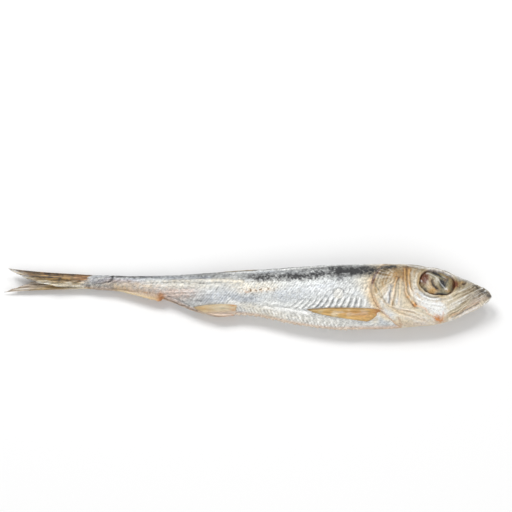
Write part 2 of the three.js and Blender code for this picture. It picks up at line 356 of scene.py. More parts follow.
JAW_EDGE = [(14.7, -8.3), (8.4, -5.7), (3.2, -3.2), (0.2, -0.8)]
JAW_LINE = [(13.5, -7.5), (9.3, -5.5), (4.7, -3.3)]
BROW = [
    (31, 10.6), (28, 10), (24.4, 9), (21.4, 8.5), (18.4, 8.3), (15.3, 7.2), (12.3, 5.8), (7.7, 4.3),
]
SNOUT_EDGE = [(6.2, 3.4), (5, 2.8), (3.2, 1.5), (1.4, 0.4), (0.2, -0.3)]
HEAD_MARKS = {
    "relief": [
        (0.26, PREOPERCLE_REAR, 0.4), (0.22, PREOPERCLE_FRONT, 0.4), (-0.16, PREOPERCLE_REAR, 0.4, -0.7),
        (0.18, CHEEK_FOOT, 0.45), (0.26, OPERCLE_RIB, 0.34), (-0.2, OPERCLE_CUT, 0.35),
        (0.1, OPERCLE_BARS, 0.4), (-0.12, OPERCLE_BARS, 0.3, 0.6), (0.1, FAN_A, 0.35), (0.1, FAN_B, 0.3),
        (-0.1, FAN_A, 0.25, 0.5), (-0.1, COVER_ARC, 0.3), (0.08, COVER_ARC, 0.4, 0.6),
        (-0.18, UNDER_EYE, 0.3), (0.12, UNDER_EYE, 0.4, 0.6), (-0.12, THROAT_FOLD_A, 0.35),
        (0.14, THROAT_FOLD_A, 0.45, 0.6), (-0.1, THROAT_FOLD_B, 0.3), (0.1, THROAT_FOLD_B, 0.4, -0.5),
        (-0.12, THROAT_FOLD_C, 0.4), (0.24, JAW_EDGE, 0.26), (-0.2, JAW_LINE, 0.3), (0.3, BROW, 0.4),
        (-0.5, (9.6, 3.5), (0.7, 0.4), -25),
    ],
    "cream": [
        (1, (28.5, -7.2), (10.5, 4), -8), (1, (36.4, 1.5), (4, 6.5)),
        (0.8, (30.6, 1.5), (1.4, 5)), (0.8, (26.6, 4), (1.8, 5.5)),
        (0.8, (15, -6.6), (3.2, 1.4), -25), (0.45, (9.5, 0.5), (5.5, 3), -30),
    ],
    "silver": [
        (1, (21.6, -3), (6.2, 2.9), 33), (0.8, WHITE_CHEEK, 1.6),
        (0.8, (36.2, -1.6), (3, 1.5), -62), (0.7, (24, -8.6), (7, 1.4), 8),
        (0.7, (35.6, -7.2), (3.2, 2.2), 40), (0.5, (32, -3.2), (1.4, 2.2)),
    ],
    "blue": [
        (0.6, OPERCLE_CUT, 0.7, 0.3), (0.55, (4.6, 0.6), (4.4, 2.2), -30),
        (0.5, (23.6, -0.9), (2.6, 0.8), 30), (0.4, (36, -6.8), (2.6, 1.4), 40),
        (0.3, (11, -2.6), (4.6, 1.2), -32), (0.5, BROW, 0.5),
    ],
    # The olive in the fold under the eye and along the gill cover's arc lies in their grooves: partly its own
    # colour, partly painted shade.
    "olive": [
        (0.8, (33.4, 6.9), (5.2, 1.9), 3), (0.45, COVER_ARC, 0.5), (0.5, (36.4, 4.8), (2.6, 1.6), -50),
        (0.55, UNDER_EYE, 0.5), (0.3, UNDER_EYE, 0.3, 1.2), (0.4, (12, 2), (3, 1.2), -25),
        (0.3, FAN_A, 0.3), (0.35, (25, 8.2), (3.2, 0.9)), (0.5, (24.9, 2.2), (0.7, 3)),
        (0.45, (6, 0.4), (7, 4.2), -30), (0.4, (30, 8.6), (8, 2.2), -4),
        (0.4, (11.6, 3.6), (4, 1.6), -28),
    ],
    "gold": [
        (0.65, PREOPERCLE_REAR, 0.75), (0.5, PREOPERCLE_FRONT, 0.6), (0.6, OPERCLE_RIB, 0.5),
        (0.55, (28.7, 3.2), (1, 6)), (0.3, OPERCLE_BARS, 0.4), (0.6, (32.4, 6.2), (2.6, 1.6)),
        (0.3, THROAT_FOLD_A, 0.5), (0.25, THROAT_FOLD_B, 0.4), (0.3, FAN_B, 0.35),
        (0.5, (28.2, 7.6), (1.8, 1.6)), (0.6, (11.8, 3.1), (2.2, 0.9), -25),
        (0.6, (15.8, -7.8), (2.8, 0.8), -25), (0.5, (30, 8.9), (3.2, 0.9)),
        (0.35, (36.4, 0.8), (0.8, 3), -20), (0.25, (34.6, 4.6), (5.5, 3), -10),
    ],
    "orange": [
        (1, (18.4, -8), (1.5, 1), 25), (0.65, (16.9, -7), (0.4, 1.1)), (0.4, CHEEK_FOOT, 0.3),
        (0.3, THROAT_FOLD_C, 0.45), (0.3, JAW_LINE, 0.3, -0.5), (0.4, (17, -9), (2.6, 0.45)),
        (0.5, (26.2, -4), (0.8, 0.6)),
    ],
    "pink": [
        (0.75, JAW_LINE, 0.8, 0.9), (0.5, (5, -2.5), (4.5, 1), -30), (0.45, (25, -10), (7, 0.6)),
        (0.4, (30, -5.6), (3.5, 0.6), 15),
    ],
    # The rust blob at (12.4, 3.2), at the eye socket's front rim, is painted shadow.
    "rust": [
        (0.5, PREOPERCLE_REAR, 0.25, 0.35), (0.4, PREOPERCLE_FRONT, 0.22, -0.3),
        (0.4, OPERCLE_RIB, 0.18, -0.3), (0.9, (12.4, 3.2), (0.8, 1.5), -10),
        (0.5, (9.6, 3.5), (0.8, 0.45), -25), (0.6, (31.9, 5.2), (0.7, 0.5)),
        (0.3, (11.3, 2.2), (0.5, 0.4)), (0.35, (28.6, 8.9), (0.6, 1)), (0.3, (34.2, 8.2), (1.4, 0.6)),
        (0.14, (5.5, 0.6), (6, 3.4), -30), (0.12, (30, 7.6), (8, 2.6), -4),
    ],
    # The slate along the gill cover's cut and along the jaw line is painted shade in their grooves.
    "slate": [
        (0.4, OPERCLE_CUT, 0.2), (0.45, JAW_LINE, 0.22), (0.6, (34.5, 9), (6.5, 0.8), -2),
        (0.6, SNOUT_EDGE, 0.6, 0.3), (0.3, (3.4, 0.9), (3, 1.3), -30), (0.25, (1.1, -0.4), (1.2, 1.2)),
        (0.3, (26.5, 9.4), (3, 0.6)), (0.3, (35.6, 7.8), (4.5, 1.6), -30),
    ],
    # The white along the brow and the jaw's edge is painted highlight on those ridges; the two small white
    # spots on the snout are painted glints.
    "white": [
        (0.5, BROW, 0.36), (0.65, JAW_EDGE, 0.24), (0.35, OPERCLE_CUT, 0.3, 0.7),
        (1, (3.6, 2.3), (0.5, 0.35)), (1, (2.3, 1.5), (0.5, 0.3), -30),
        (0.7, (20.6, -4), (4.6, 1.7), 35), (0.5, (12.6, -4), (2.2, 0.5), -32),
        (0.5, (14.2, -1.6), (0.9, 0.4), 60),
    ],
}


def socket_place(spots):
    """Places in the eye socket's own oval: the distance from its middle, 1 at its rim, and the angle."""
    turn, power = math.radians(SOCKET["tilt"]), SOCKET["squareness"]
    rel = spots - SOCKET["centre"]
    along = (rel[:, 0] * math.cos(turn) + rel[:, 1] * math.sin(turn)) / SOCKET["size"][0]
    across = (rel[:, 1] * math.cos(turn) - rel[:, 0] * math.sin(turn)) / SOCKET["size"][1]
    return (np.abs(along) ** power + np.abs(across) ** power) ** (1 / power), np.arctan2(across, along)


def jaw_creases(ws, wy):
    """Where the lower jaw's creased skin lies, and its creases."""
    along, across = 0.84 * ws - 0.54 * wy, 0.54 * ws + 0.84 * wy
    across = 3.3 + (across - 3.3) / (1 + 0.035 * (along - 8.5))
    return span(across, 0.9, 6.6, 0.8) * span(ws, 3.5, 14.5, 2), streaks(along, across, 7, 0.3, 5)


def gill_fan(ws, wy, to_edge):
    """Where the gill cover's plate lies, and the creases that fan out over it from its hinge."""
    out, down = ws - HINGE[0], HINGE[1] - wy
    swing, arm = np.arctan2(out, down), np.hypot(out, down)
    plate = span(arm, 1.5, 9.5, 2) * span(swing, 0, 2.2, 0.3) * span(to_edge, 0.5, 8, 1)
    return plate, streaks(arm, swing * 6, 6, 0.5, 6)


def head_forms(s, y, q, tilt, p):
    """Relief and stains of the head. top marks the strip along the back, between the flanks."""
    seen = rise(tilt, 0.08, 0.32)
    top = (q > 0.5) * (1 - rise(tilt, 0.1, 0.34))
    spots = wandered(s, y, p, 0.26)
    ws, wy = spots.T
    fine, broad = noise(p, 0.7, 8, 2), noise(p, 3, 9, 2)
    inside = np.minimum(1, 8 * q * (1 - q))
    to_edge = gill_edge(q) - s
    reach, angle = socket_place(spots)
    jaw, jaw_lines = jaw_creases(ws, wy)
    plate, fan = gill_fan(ws, wy, to_edge)
    arcs = streaks(q * 20, to_edge, 5, 0.5, 7) * span(to_edge, -1, 6, 3) * span(y, -3, 9, 3)
    rings = streaks(angle * 6, reach * 5, 5, 0.42, 15) * span(reach, 1.1, 1.9, 0.25) * (ws > 17)
    throat = streaks(0.95 * ws + 0.3 * wy, 0.95 * wy - 0.3 * ws, 6, 0.6, 16)
    throat = throat * (1 - rise(y, -6, -3.5)) * rise(ws, 17, 20)
    tip = 1 - rise(s, 3.5, 8)
    off_middle = np.abs(p[:, 2] - mid_at(s))
    from_ridge = off_middle - 1.3 - 0.03 * s
    skull = top * span(s, 6, 30, 4)

    fields = added_marks(HEAD_MARKS, spots, seen, 0.85 + 0.6 * fine + 0.35 * broad)
    relief = fields["relief"] + (0.02 + 0.36 * inside * seen) * bell(to_edge, 7)
    relief += skull * (0.3 * bell(from_ridge, 0.5) - 0.15 * bell(off_middle, 0.5))
    relief += 0.18 * bell(reach - 1.13, 0.1) - 0.07 * bell(reach - 1.28, 0.05)
    relief += inside * (0.09 * jaw * jaw_lines + 0.06 * plate * fan + 0.04 * arcs + 0.05 * rings)
    relief += 0.06 * throat + 0.1 * tip * streaks(wy + s, ws - y, 3, 0.5, 12)
    relief += 0.07 * noise(p, (1.8, 1.1, 1.1), 3, 2) + 0.04 * noise(p, 0.5, 4)
    relief += 0.15 * noise(p, 5, 14) * inside + 0.16 * top * noise(p, (2.5, 0.8, 0.8), 13, 2)
    relief *= 0.35 + 0.65 * rise(s, 0.3, 3)
    fields["relief"] = relief - SOCKET["depth"] * np.clip(1 - reach**2, 0, 1) ** 0.22
    # Stains that follow the relief: white on the crests of the jaw creases, gill fan, throat streaks, arcs
    # and rings round the eye is painted highlight, and the olive, slate and gold in their troughs are partly
    # painted shade. The white along the skull's ridge is painted highlight.
    return with_more(fields, {
        "white": 0.5 * jaw * rise(jaw_lines, 0.1, 0.6) + 0.25 * plate * rise(fan, 0.2, 0.7)
        + 0.3 * rise(throat, 0, 0.6) + 0.12 * rise(arcs, 0.2, 0.6) + 0.25 * rise(rings, 0.1, 0.5)
        + 0.35 * skull * bell(from_ridge, 0.4) * rise(fine, -0.2, 0.5),
        "gold": 0.4 * bell(to_edge - 0.3, 0.6) + 0.25 * rise(-arcs, 0.2, 0.7)
        + 0.3 * rise(-rings, 0.1, 0.5) + 0.14 * rise(-throat, 0.2, 0.6),
        "olive": 0.5 * jaw * rise(-jaw_lines, 0, 0.6) + 0.25 * rise(-fan, 0.2, 0.6) * plate
        + 0.4 * tip * rise(fine + broad, -0.6, 0.8) + 0.6 * top * rise(fine, -0.3, 0.3)
        + 0.6 * bell(reach - 1.06, 0.1),
        "slate": top * (0.78 + 0.3 * broad + 0.15 * fine) + 0.22 * jaw * rise(-jaw_lines, 0.35, 0.9)
        + 0.3 * seen * bell(to_edge - 0.1, 0.3) * rise(y, 3, 8),
        # The rust over the eye socket's wall and rim is partly the socket's own red-brown and partly painted
        # shade in the gap round the eye.
        "rust": seen * bell(to_edge, 0.5) * (0.25 * rise(y, -3, 2) + 0.9 * span(y, 3.5, 7.5, 1.5))
        + 0.7 * bell(reach - 0.985, 0.025) + (reach < 0.97),
        "orange": 0.3 * bell(to_edge, 0.4) * rise(-y, -1, 4),
        # dull: the colour made darker over the upper head, most on the snout's top
        "dull": 0.12 + 0.4 * rise(y, -1.5, 4.5) + 0.25 * rise(14 - s, -2, 6) * rise(y, -1, 3) + 0.15 * broad,
    })


# ---------------------------------------------------------------- the trunk's forms and stains
BAND_LOW = curve_through([35, 46.7, 57.5, 70.1, 79.8, 92], [5.4, 5.4, 4.5, 4.2, 4.6, 6.6])
BAND_HIGH = curve_through([35, 48.5, 62.9, 77.3, 95], [10.1, 10.4, 9.5, 8.2, 7.8])
BACK_RIDGE = [(37, 10.2), (48.5, 10.4), (62.9, 9.5), (80.9, 8.3), (90, 7.9)]
BELLY_CREASE = [(77, -3.4), (72.3, -4), (66.5, -4.8), (61.5, -5.5), (49.3, -6), (41, -6.3)]
VENT_FOLD_A = [(110.4, -0.3), (106.6, -1.6), (103.2, -2.9), (99.3, -4.5)]
VENT_FOLD_B = [(109, 0.2), (104.9, -1.2), (101.8, -2.8)]
CREAM_RIDGE = [(116, 5.4), (101.5, 5.5), (91.4, 5.3), (84.5, 4.4)]
GREY_LINE = [(117, 4.6), (104.9, 4.8), (98.1, 4.4), (91.4, 4.3)]
BLUE_STRIP = [(128.5, 6), (115, 6.2), (104.9, 6.3), (94.8, 6.4)]
YELLOW_EDGE = [(127, 3.6), (121.7, 2.5), (116.7, 1.5), (111.6, 0.1)]
CREAM_LOW = [(136, 4.4), (126.8, 4.3), (121.7, 4.2), (115, 3.6)]
ROPE = [(88, -4.6), (79.1, -4.9), (71.9, -6.5), (66.5, -7.9), (60, -9.4), (52, -10.1)]
OVAL = (132.1, 6.6)
RIB_SPACING = 2.15
TRUNK_MARKS = {
    "relief": [
        (-0.12, BELLY_CREASE, 0.5), (0.08, BELLY_CREASE, 0.5, 0.8), (0.2, BACK_RIDGE, 0.4),
        (-0.25, VENT_FOLD_A, 0.3), (0.22, VENT_FOLD_A, 0.4, 0.6), (-0.15, VENT_FOLD_B, 0.3),
        (0.16, CREAM_RIDGE, 0.6), (-0.1, GREY_LINE, 0.35), (0.12, YELLOW_EDGE, 0.5),
        (0.28, OVAL, (4, 1.4)), (0.12, (39.5, -7.4), (2.2, 1.6), 50),
    ],
    "cream": [
        (0.5, (79, 2.8), (10, 2)), (0.5, CREAM_RIDGE, 0.9), (0.45, (76, -5.4), (12, 1.8), 14),
        (0.35, CREAM_LOW, 0.9), (0.35, (104, 3.6), (14, 1.2)), (0.8, (40.6, -7.6), (2.6, 1.4), 60),
        (0.3, (58, -8.6), (12, 1.6), 6), (0.5, (92, -3.4), (6, 1)), (0.5, YELLOW_EDGE, 1),
    ],
    "blue": [
        (0.75, BLUE_STRIP, 0.9), (1, OVAL, (4.2, 1.7)), (0.7, (92.5, -0.4), (9, 2.4)),
        (0.5, (66, 0.8), (12, 3)), (0.35, (54, 2.6), (6, 2.6)),
        (0.4, (82, -1.4), (5, 1)), (0.3, (70, 7.8), (14, 0.8)),
    ],
    # The slate in the vent folds, along the grey line and in the belly crease is painted shade in their
    # grooves.
    "slate": [
        (0.16, OVAL, (4.2, 1.7)), (0.2, (134, 7.2), (1.6, 0.4)), (0.45, VENT_FOLD_A, 0.16),
        (0.3, VENT_FOLD_B, 0.18), (0.22, GREY_LINE, 0.3),
        (0.22, [(129, 7.5), (128, 6.6), (129.2, 5.6), (132, 5.1)], 0.2),
        (0.35, [(128, 5.2), (122, 5.2), (117, 5.4)], 0.3), (0.3, (99, -0.6), (4, 1.8), -20),
        (0.2, (83, -1.2), (4.5, 1.2)), (0.14, BELLY_CREASE, 0.3),
    ],
    "pink": [
        (1, (118, 2.8), (15, 2.5), 11), (0.8, (97, -4.5), (9, 0.9), 6),
        (0.6, VENT_FOLD_A, 0.7, 0.6), (0.5, (103, 1), (7, 2)),
    ],
    "gold": [
        (0.45, YELLOW_EDGE, 0.7), (0.4, (139.5, 6), (3, 3.2)), (0.5, (79.5, 1.6), (5.5, 0.8)),
        (0.3, (86.5, -4.5), (0.8, 1.4)),
    ],
    "orange": [
        (0.65, (111.6, 0.3), (1.7, 1.5), -20), (0.4, (114.5, 1), (3, 0.5), 20),
        (0.4, (82.4, 1.1), (0.8, 0.4)),
    ],
    "rust": [
        (0.5, (111.2, -0.2), (0.6, 0.5)),
    ],
    # The white along the back's ridge, on the tail's oval and on the ridges beside the belly crease and the
    # first vent fold is painted highlight.
    "white": [
        (0.55, BACK_RIDGE, 0.28), (0.95, (131.8, 7), (2.2, 0.45), -4), (0.5, (133.6, 6.2), (1.2, 0.4)),
        (0.4, (54, 1.8), (12, 3)), (0.2, BELLY_CREASE, 0.5, 0.8), (0.4, VENT_FOLD_A, 0.3, 0.6),
        (0.5, (86.5, -2.6), (2.5, 1.2), 20), (0.3, (68, -5), (9, 1.6), 12),
        (0.3, (46, -9), (6, 1)), (0.25, (62, -7.4), (14, 2), 10),
    ],
}
DARK_PATCHES = {
    "dark": [
        (0.7, (75.6, 5.8), (3.6, 1.4)), (1, (67.9, 5.9), (4.4, 1.4), 6),
        (0.5, (72.6, 5), (5, 1)), (0.8, (54.6, 7.2), (6.5, 1.8), -8),
        (0.75, (46.8, 8.2), (6.5, 1.5)), (0.6, (60.5, 6.8), (4.5, 1.6)), (0.6, (41.5, 7.6), (3.5, 1.8)),
    ],
}


def rib_marks(ws, wy, broad):
    """The bright slashes of the ribs that show through the skin, partly painted highlight on their ridges,
    and the painted shadows between them.
    """
    lean = 0.2 + 0.05 * np.clip(ws + 0.7 * (wy + 4.5) - 44.9, 0, 26)
    place = ws + lean * (wy + 4.5) + 0.06 * RIB_SPACING * broad
    shown = span(wy, -4.4, -2.2, 0.7) + 0.25 * span(wy, -2, 1, 1.5)
    shown = shown * span(ws + 0.8 * (wy + 4.5), 44.5, 66, 3) * (0.8 + 0.6 * broad)
    slashes = np.maximum(waves(place, RIB_SPACING), 0) ** 1.3
    shadows = np.maximum(waves(place, RIB_SPACING, 2.1), 0) ** 2
    return shown * slashes, shown * shadows


def slanting_lines(spots):
    """The fine slanting lines over the vent and on the flank."""
    ws, wy = spots.T
    rear = waves(ws + 0.85 * wy, 0.94) * blob(spots, (92.5, -0.2), (10, 2.9), -4)
    flank = waves(ws + 0.8 * wy, 1.02) * (0.6 + 0.4 * waves(ws - 1.3 * wy, 1.7))
    return rear, flank * span(ws, 46, 82, 4) * span(wy, -2.5, 4, 1.5)


def back_band(s, y, fine, broad):
    """Where the dark band below the back lies, with its uneven edges."""
    band = rise(y + 0.9 * fine + 0.5 * broad, BAND_LOW(s) - 1.3, BAND_LOW(s) + 2.2)
    band = band * (1 - 0.75 * bell(y + 0.2 * fine - BAND_HIGH(s) - 0.1, 0.4))
    return band * (1 - 0.65 * rise(s, 78, 88))


def trunk_forms(s, y, q, tilt, p):
    """Relief and stains of the trunk. top marks the strip along the back, between the flanks."""
    seen = rise(tilt, 0.08, 0.32)
    top = (q > 0.5) * (1 - rise(tilt, 0.3, 0.62))
    spots = wandered(s, y, p, 0.28)
    ws, wy = spots.T
    fine, broad = noise(p, 0.6, 8, 2), noise(p, (5, 2.5, 2.5), 9, 2)
    inside = np.minimum(1, 8 * q * (1 - q))
    above_belly = y - belly_at(s)
    behind = s - gill_edge(q)
    slashes, shadows = rib_marks(ws, wy, broad)
    rear_lines, flank_lines = slanting_lines(spots)
    low = span(above_belly, 1, 2.6, 0.7) * span(s, 50, 66, 4)
    chevron = np.maximum(waves(ws - 0.8 * np.abs(above_belly - 1.9), RIB_SPACING), 0) ** 2
    beads = stroke(spots, ROPE, 0.6) * np.maximum(waves(s - 0.5 * y, 1.05, 2 * broad), 0)
    pits = blob(spots, (78.6, 1.5), (7, 0.8))
    holes = rise(noise(p, (0.6, 0.36, 0.36), 15), 0.25, 0.6)
    oval_edge = bell(np.hypot(*((spots - OVAL) / (4.3, 1.75)).T) - 1, 0.12) * rise(136 - s, 0, 4)
    rear = rise(s, 86, 104)
    long_lines = streaks(s, y, 12, 0.5, 16)
    tail_rays = streaks(s, y, 9, 0.3, 23) * rise(s, 134, 137)
    from_ring = np.hypot(s - 51.8, y + 0.2)
    ring = bell(from_ring - 1.95, 0.2) * rise(y, -1.2, 0.6)
    hatch = streaks(s + 0.8 * y, s - y, 0.8, 0.25, 27)
    near_gill = 1 - rise(behind, 0.8, mix(3.4, 8.5, rise(y, -3, 5)))
    band = back_band(s, y, fine, broad)
    dark = added_marks(DARK_PATCHES, spots, seen)["dark"]
    back_end = rise(s, 80, 98) * rise(q, 0.72, 0.93) * (1 - top) * (1 - rise(s, 128, 132))

    fields = added_marks(TRUNK_MARKS, spots, seen, 0.85 + 0.5 * fine + 0.35 * broad)
    # Much of this colour follows the relief: white on the crests of the chevrons, beads, slanting lines and
    # long lines, and round the pits, is painted highlight. Slate in the pits' holes, in the troughs of those
    # lines, chevrons and tail rays, and in the groove round the oval, is painted shade.
    return with_more(fields, {
        "relief": 0.19 * (slashes - 0.8 * shadows) + 0.05 * flank_lines + 0.07 * rear_lines
        + 0.07 * low * chevron + 0.12 * beads + pits * (0.1 * rise(-holes, -0.5, 0) - 0.22 * holes)
        + 0.08 * ring + inside * (0.06 * rear * long_lines + 0.18 * noise(p, (14, 5, 5), 18))
        - 0.2 * oval_edge + 0.12 * tail_rays
        + 0.07 * noise(p, (2.2, 1.1, 1.1), 3, 2) + 0.05 * noise(p, 0.55, 4),
        "slate": band * (0.6 + 0.46 * np.clip(dark, 0, 1)) * (0.95 + 0.35 * broad + 0.4 * fine + 0.4 * hatch)
        + top * (0.58 + 0.16 * rise(behind, 0, 5) + 0.3 * broad + 0.4 * fine)
        + back_end * (0.62 + 0.25 * fine) * (1 - 0.6 * bell(s - 106, 10))
        + 0.28 * oval_edge + 0.22 * pits * holes + 0.6 * ring + 0.08 * rise(-flank_lines, 0.2, 0.8)
        + 0.24 * shadows + 0.12 * low * (1 - chevron) * rise(fine, -0.3, 0.4)
        + 0.1 * rear * rise(-long_lines, 0.2, 0.8) * rise(y, 1, 4) + 0.6 * rise(-tail_rays, 0.1, 0.5),
        "white": 0.6 * slashes + 0.25 * low * chevron + 0.6 * beads + 0.25 * pits * (1 - holes)
        + 0.3 * rise(flank_lines, 0.1, 0.7) + 0.5 * rise(rear_lines, 0.1, 0.7)
        + 0.12 * rear * rise(long_lines, 0.25, 0.8),
        "cream": 0.35 * (1 - rise(from_ring, 1.3, 2)) + 0.85 * near_gill * rise(above_belly, 1, 3),
        "gold": 0.6 * bell(behind, 1.8) * rise(above_belly, 2, 5) + 0.35 * (1 - rise(above_belly, 0.1, 0.6))
        + 0.35 * rise(tail_rays, 0.1, 0.5) + 0.5 * pits * holes,
        "pink": 0.85 * (1 - rise(above_belly, 0.35, 1.1)),
        "rust": bell(behind, 0.5) * (0.25 * rise(y, -4, 2) + 0.7 * span(y, 3.5, 7.5, 1.5)),
        "blue": 0.25 * rise(broad, 0.1, 0.7) * (1 - band) + 0.6 * top,
        # dull: the colour made darker by region, behind the gill cover, over the dark band, round the vent
        # and towards the tail
        "dull": 0.5 * span(s, 41, 51, 5) * rise(y, 0, 3) + 0.2 * span(s, 99, 107, 5) * rise(y, 2, 4)
        + 0.3 * rise(s, 70, 96) + 0.35 * rise(s, 104, 128) + 0.3 * band + 0.15 * broad
        + 0.3 * span(s, 128, 139, 4) * (1 - rise(y, 5.2, 6.4))
        + 0.25 * span(s, 96, 106, 6) * (1 - rise(y, -2, 2)),
    })


# ---------------------------------------------------------------- materials
def linear(red, green, blue):
    """A colour as seen on a screen, 0 to 255, as the linear colour that the nodes take."""
    parts = [c / 255 for c in (red, green, blue)]
    return tuple(c / 12.92 if c < 0.04045 else ((c + 0.055) / 1.055) ** 2.4 for c in parts) + (1.0,)


STAIN_COLOURS = {
    "cream": linear(234, 221, 194),
    "silver": linear(246, 248, 248),
    "olive": linear(150, 132, 94),
    "blue": linear(184, 194, 210),
    "pink": linear(222, 202, 190),
    "gold": linear(206, 164, 104),
    "orange": linear(208, 136, 72),
    "rust": linear(106, 54, 20),
    "slate": linear(50, 50, 52),
    "white": linear(252, 252, 248),
}


def node(tree, kind, inputs=None, **settings):
    """Adds a node. An input may be a value or another node's output."""
    made = tree.nodes.new(kind)
    for key, value in settings.items():
        setattr(made, key, value)
    for key, value in (inputs or {}).items():
        if isinstance(value, bpy.types.NodeSocket):
            tree.links.new(value, made.inputs[key])
        else:
            made.inputs[key].default_value = value
    return made


def result(tree, kind, inputs=None, **settings):
    """The first output of a new node."""
    return node(tree, kind, inputs, **settings).outputs[0]


def maths(tree, operation, a, b=0.0, c=0.0):
    return result(tree, "ShaderNodeMath", {0: a, 1: b, 2: c}, operation=operation)


def ranged(tree, value, start, end, low=0.0, high=1.0):
    return result(tree, "ShaderNodeMapRange", {0: value, 1: start, 2: end, 3: low, 4: high})


def blend_colour(tree, share, a, b, how="MIX"):
    made = node(tree, "ShaderNodeMix", {0: share, 6: a, 7: b}, data_type="RGBA", blend_type=how)
    return made.outputs[2]


def shaded(tree, colour, amount):
    """The colour made darker or lighter by a number round 1."""
    grey = result(tree, "ShaderNodeCombineColor", {0: amount, 1: amount, 2: amount})
    return blend_colour(tree, 1.0, colour, grey, "MULTIPLY")


def value_at(tree, name, kind="Fac"):
    """What the mesh keeps under that name: a number, or a vector."""
    return node(tree, "ShaderNodeAttribute", attribute_name=name).outputs[kind]


def new_tree(kind, name, takes, gives):
    """An empty node tree, with its inputs and outputs. takes gives each input's kind and default."""
    tree = bpy.data.node_groups.new(name, kind + "NodeTree")
    for key, sort, default in takes:
        socket = tree.interface.new_socket(key, in_out="INPUT", socket_type="NodeSocket" + sort)
        if default is not None:
            socket.default_value = default
    for key, sort in gives:
        tree.interface.new_socket(key, in_out="OUTPUT", socket_type="NodeSocket" + sort)
    return tree, tree.nodes.new("NodeGroupInput").outputs, tree.nodes.new("NodeGroupOutput").inputs


def new_group(name, sizes, gives):
    """A shader node group that takes a place and some sizes, and gives some masks."""
    takes = [("Place", "Vector", None)] + [(key, "Float", default) for key, default in sizes.items()]
    return new_tree("Shader", name, takes, [(key, "Float") for key in gives])


def leaned(tree, takes):
    """The group's place, leant over and divided by its cell sizes."""
    x, y, z = node(tree, "ShaderNodeSeparateXYZ", {0: takes["Place"]}).outputs
    x = maths(tree, "DIVIDE", maths(tree, "MULTIPLY_ADD", y, takes["Lean"], x), takes["Length"])
    return result(tree, "ShaderNodeCombineXYZ", {0: x, 1: maths(tree, "DIVIDE", y, takes["Height"]), 2: z})


def make_scale_net():
    """Overlapping scales: each cell is a plate that rises towards the tail, with its own brightness."""
    sizes = {"Length": 1.5, "Height": 1.0, "Lean": 0.0}
    tree, takes, gives = new_group("Scale Net", sizes, ["Tilt", "Rim", "Tone"])
    cell = {"Vector": leaned(tree, takes), "Scale": 1.0, "Randomness": 0.6}
    cells = node(tree, "ShaderNodeTexVoronoi", cell).outputs
    edges = result(tree, "ShaderNodeTexVoronoi", cell, feature="DISTANCE_TO_EDGE")
    ends = {0: cell["Vector"], 1: cells["Position"]}
    off = result(tree, "ShaderNodeVectorMath", ends, operation="SUBTRACT")
    along = result(tree, "ShaderNodeSeparateXYZ", {0: off})
    tree.links.new(maths(tree, "ADD", along, 0.5), gives["Tilt"])
    tree.links.new(ranged(tree, edges, 0.0, 0.12), gives["Rim"])
    tree.links.new(result(tree, "ShaderNodeSeparateColor", {0: cells["Color"]}), gives["Tone"])
    return tree


def make_pepper():
    """Dark pigment dots. Amount says how many of them show."""
    tree, takes, gives = new_group("Pepper", {"Size": 0.5, "Amount": 0.5}, ["Mask"])
    cell = {"Vector": takes["Place"], "Scale": maths(tree, "DIVIDE", 1.0, takes["Size"])}
    cells = node(tree, "ShaderNodeTexVoronoi", cell).outputs
    dot = ranged(tree, cells["Distance"], 0.45, 0.2)
    lot = node(tree, "ShaderNodeSeparateColor", {0: cells["Color"]}).outputs[1]
    shown = maths(tree, "LESS_THAN", lot, takes["Amount"])
    tree.links.new(maths(tree, "MULTIPLY", dot, shown), gives["Mask"])
    return tree


def make_dry_grain():
    """Salt-dried skin: fine streaks and crumbs over soft lumps."""
    sizes = {"Length": 0.5, "Height": 0.5, "Lean": 0.0}
    tree, takes, gives = new_group("Dry Grain", sizes, ["Fine", "Soft"])
    place = leaned(tree, takes)
    fine = {"Vector": place, "Scale": 1.0, "Detail": 4.0, "Roughness": 0.65, "Distortion": 0.3}
    tree.links.new(result(tree, "ShaderNodeTexNoise", fine), gives["Fine"])
    soft = {"Vector": place, "Scale": 0.27, "Detail": 2.0}
    tree.links.new(result(tree, "ShaderNodeTexNoise", soft), gives["Soft"])
    return tree


SCALE_NET = make_scale_net()
PEPPER = make_pepper()
DRY_GRAIN = make_dry_grain()


def stained_colour(tree, base, stains):
    """The base colour with one stain after another laid over it."""
    for name in stains:
        base = blend_colour(tree, value_at(tree, name), base, STAIN_COLOURS[name])
    return base


def new_material(name, values):
    """A material, its tree and its shader, with values on the shader's own sockets."""
    material = bpy.data.materials.new(name)
    material.use_nodes = True
    tree = material.node_tree
    shader = tree.nodes["Principled BSDF"]
    for key, value in values.items():
        shader.inputs[key].default_value = value
    return material, tree, shader.inputs


def grown(tree, group, place, *size):
    """A use of the scales or of the grain, with its cells' length and height and how far they lean."""
    inputs = {"Place": place, **dict(zip(("Length", "Height", "Lean"), size))}
    return node(tree, "ShaderNodeGroup", inputs, node_tree=group).outputs


def peppered(tree, place, size, amount, strength, colour, dot_colour):
    """The colour with pigment dots over it."""
    inputs = {"Place": place, "Size": size, "Amount": amount}
    mask = result(tree, "ShaderNodeGroup", inputs, node_tree=PEPPER)
    return blend_colour(tree, maths(tree, "MULTIPLY", mask, strength), colour, dot_colour)


def finish_surface(tree, shader, colour, height, strength, distance):
    """Gives the shader its colour, and fine bumps of up to that distance in metres."""
    tree.links.new(colour, shader["Base Color"])
    bumps = {"Height": height, "Strength": strength, "Distance": distance}
    tree.links.new(result(tree, "ShaderNodeBump", bumps), shader["Normal"])


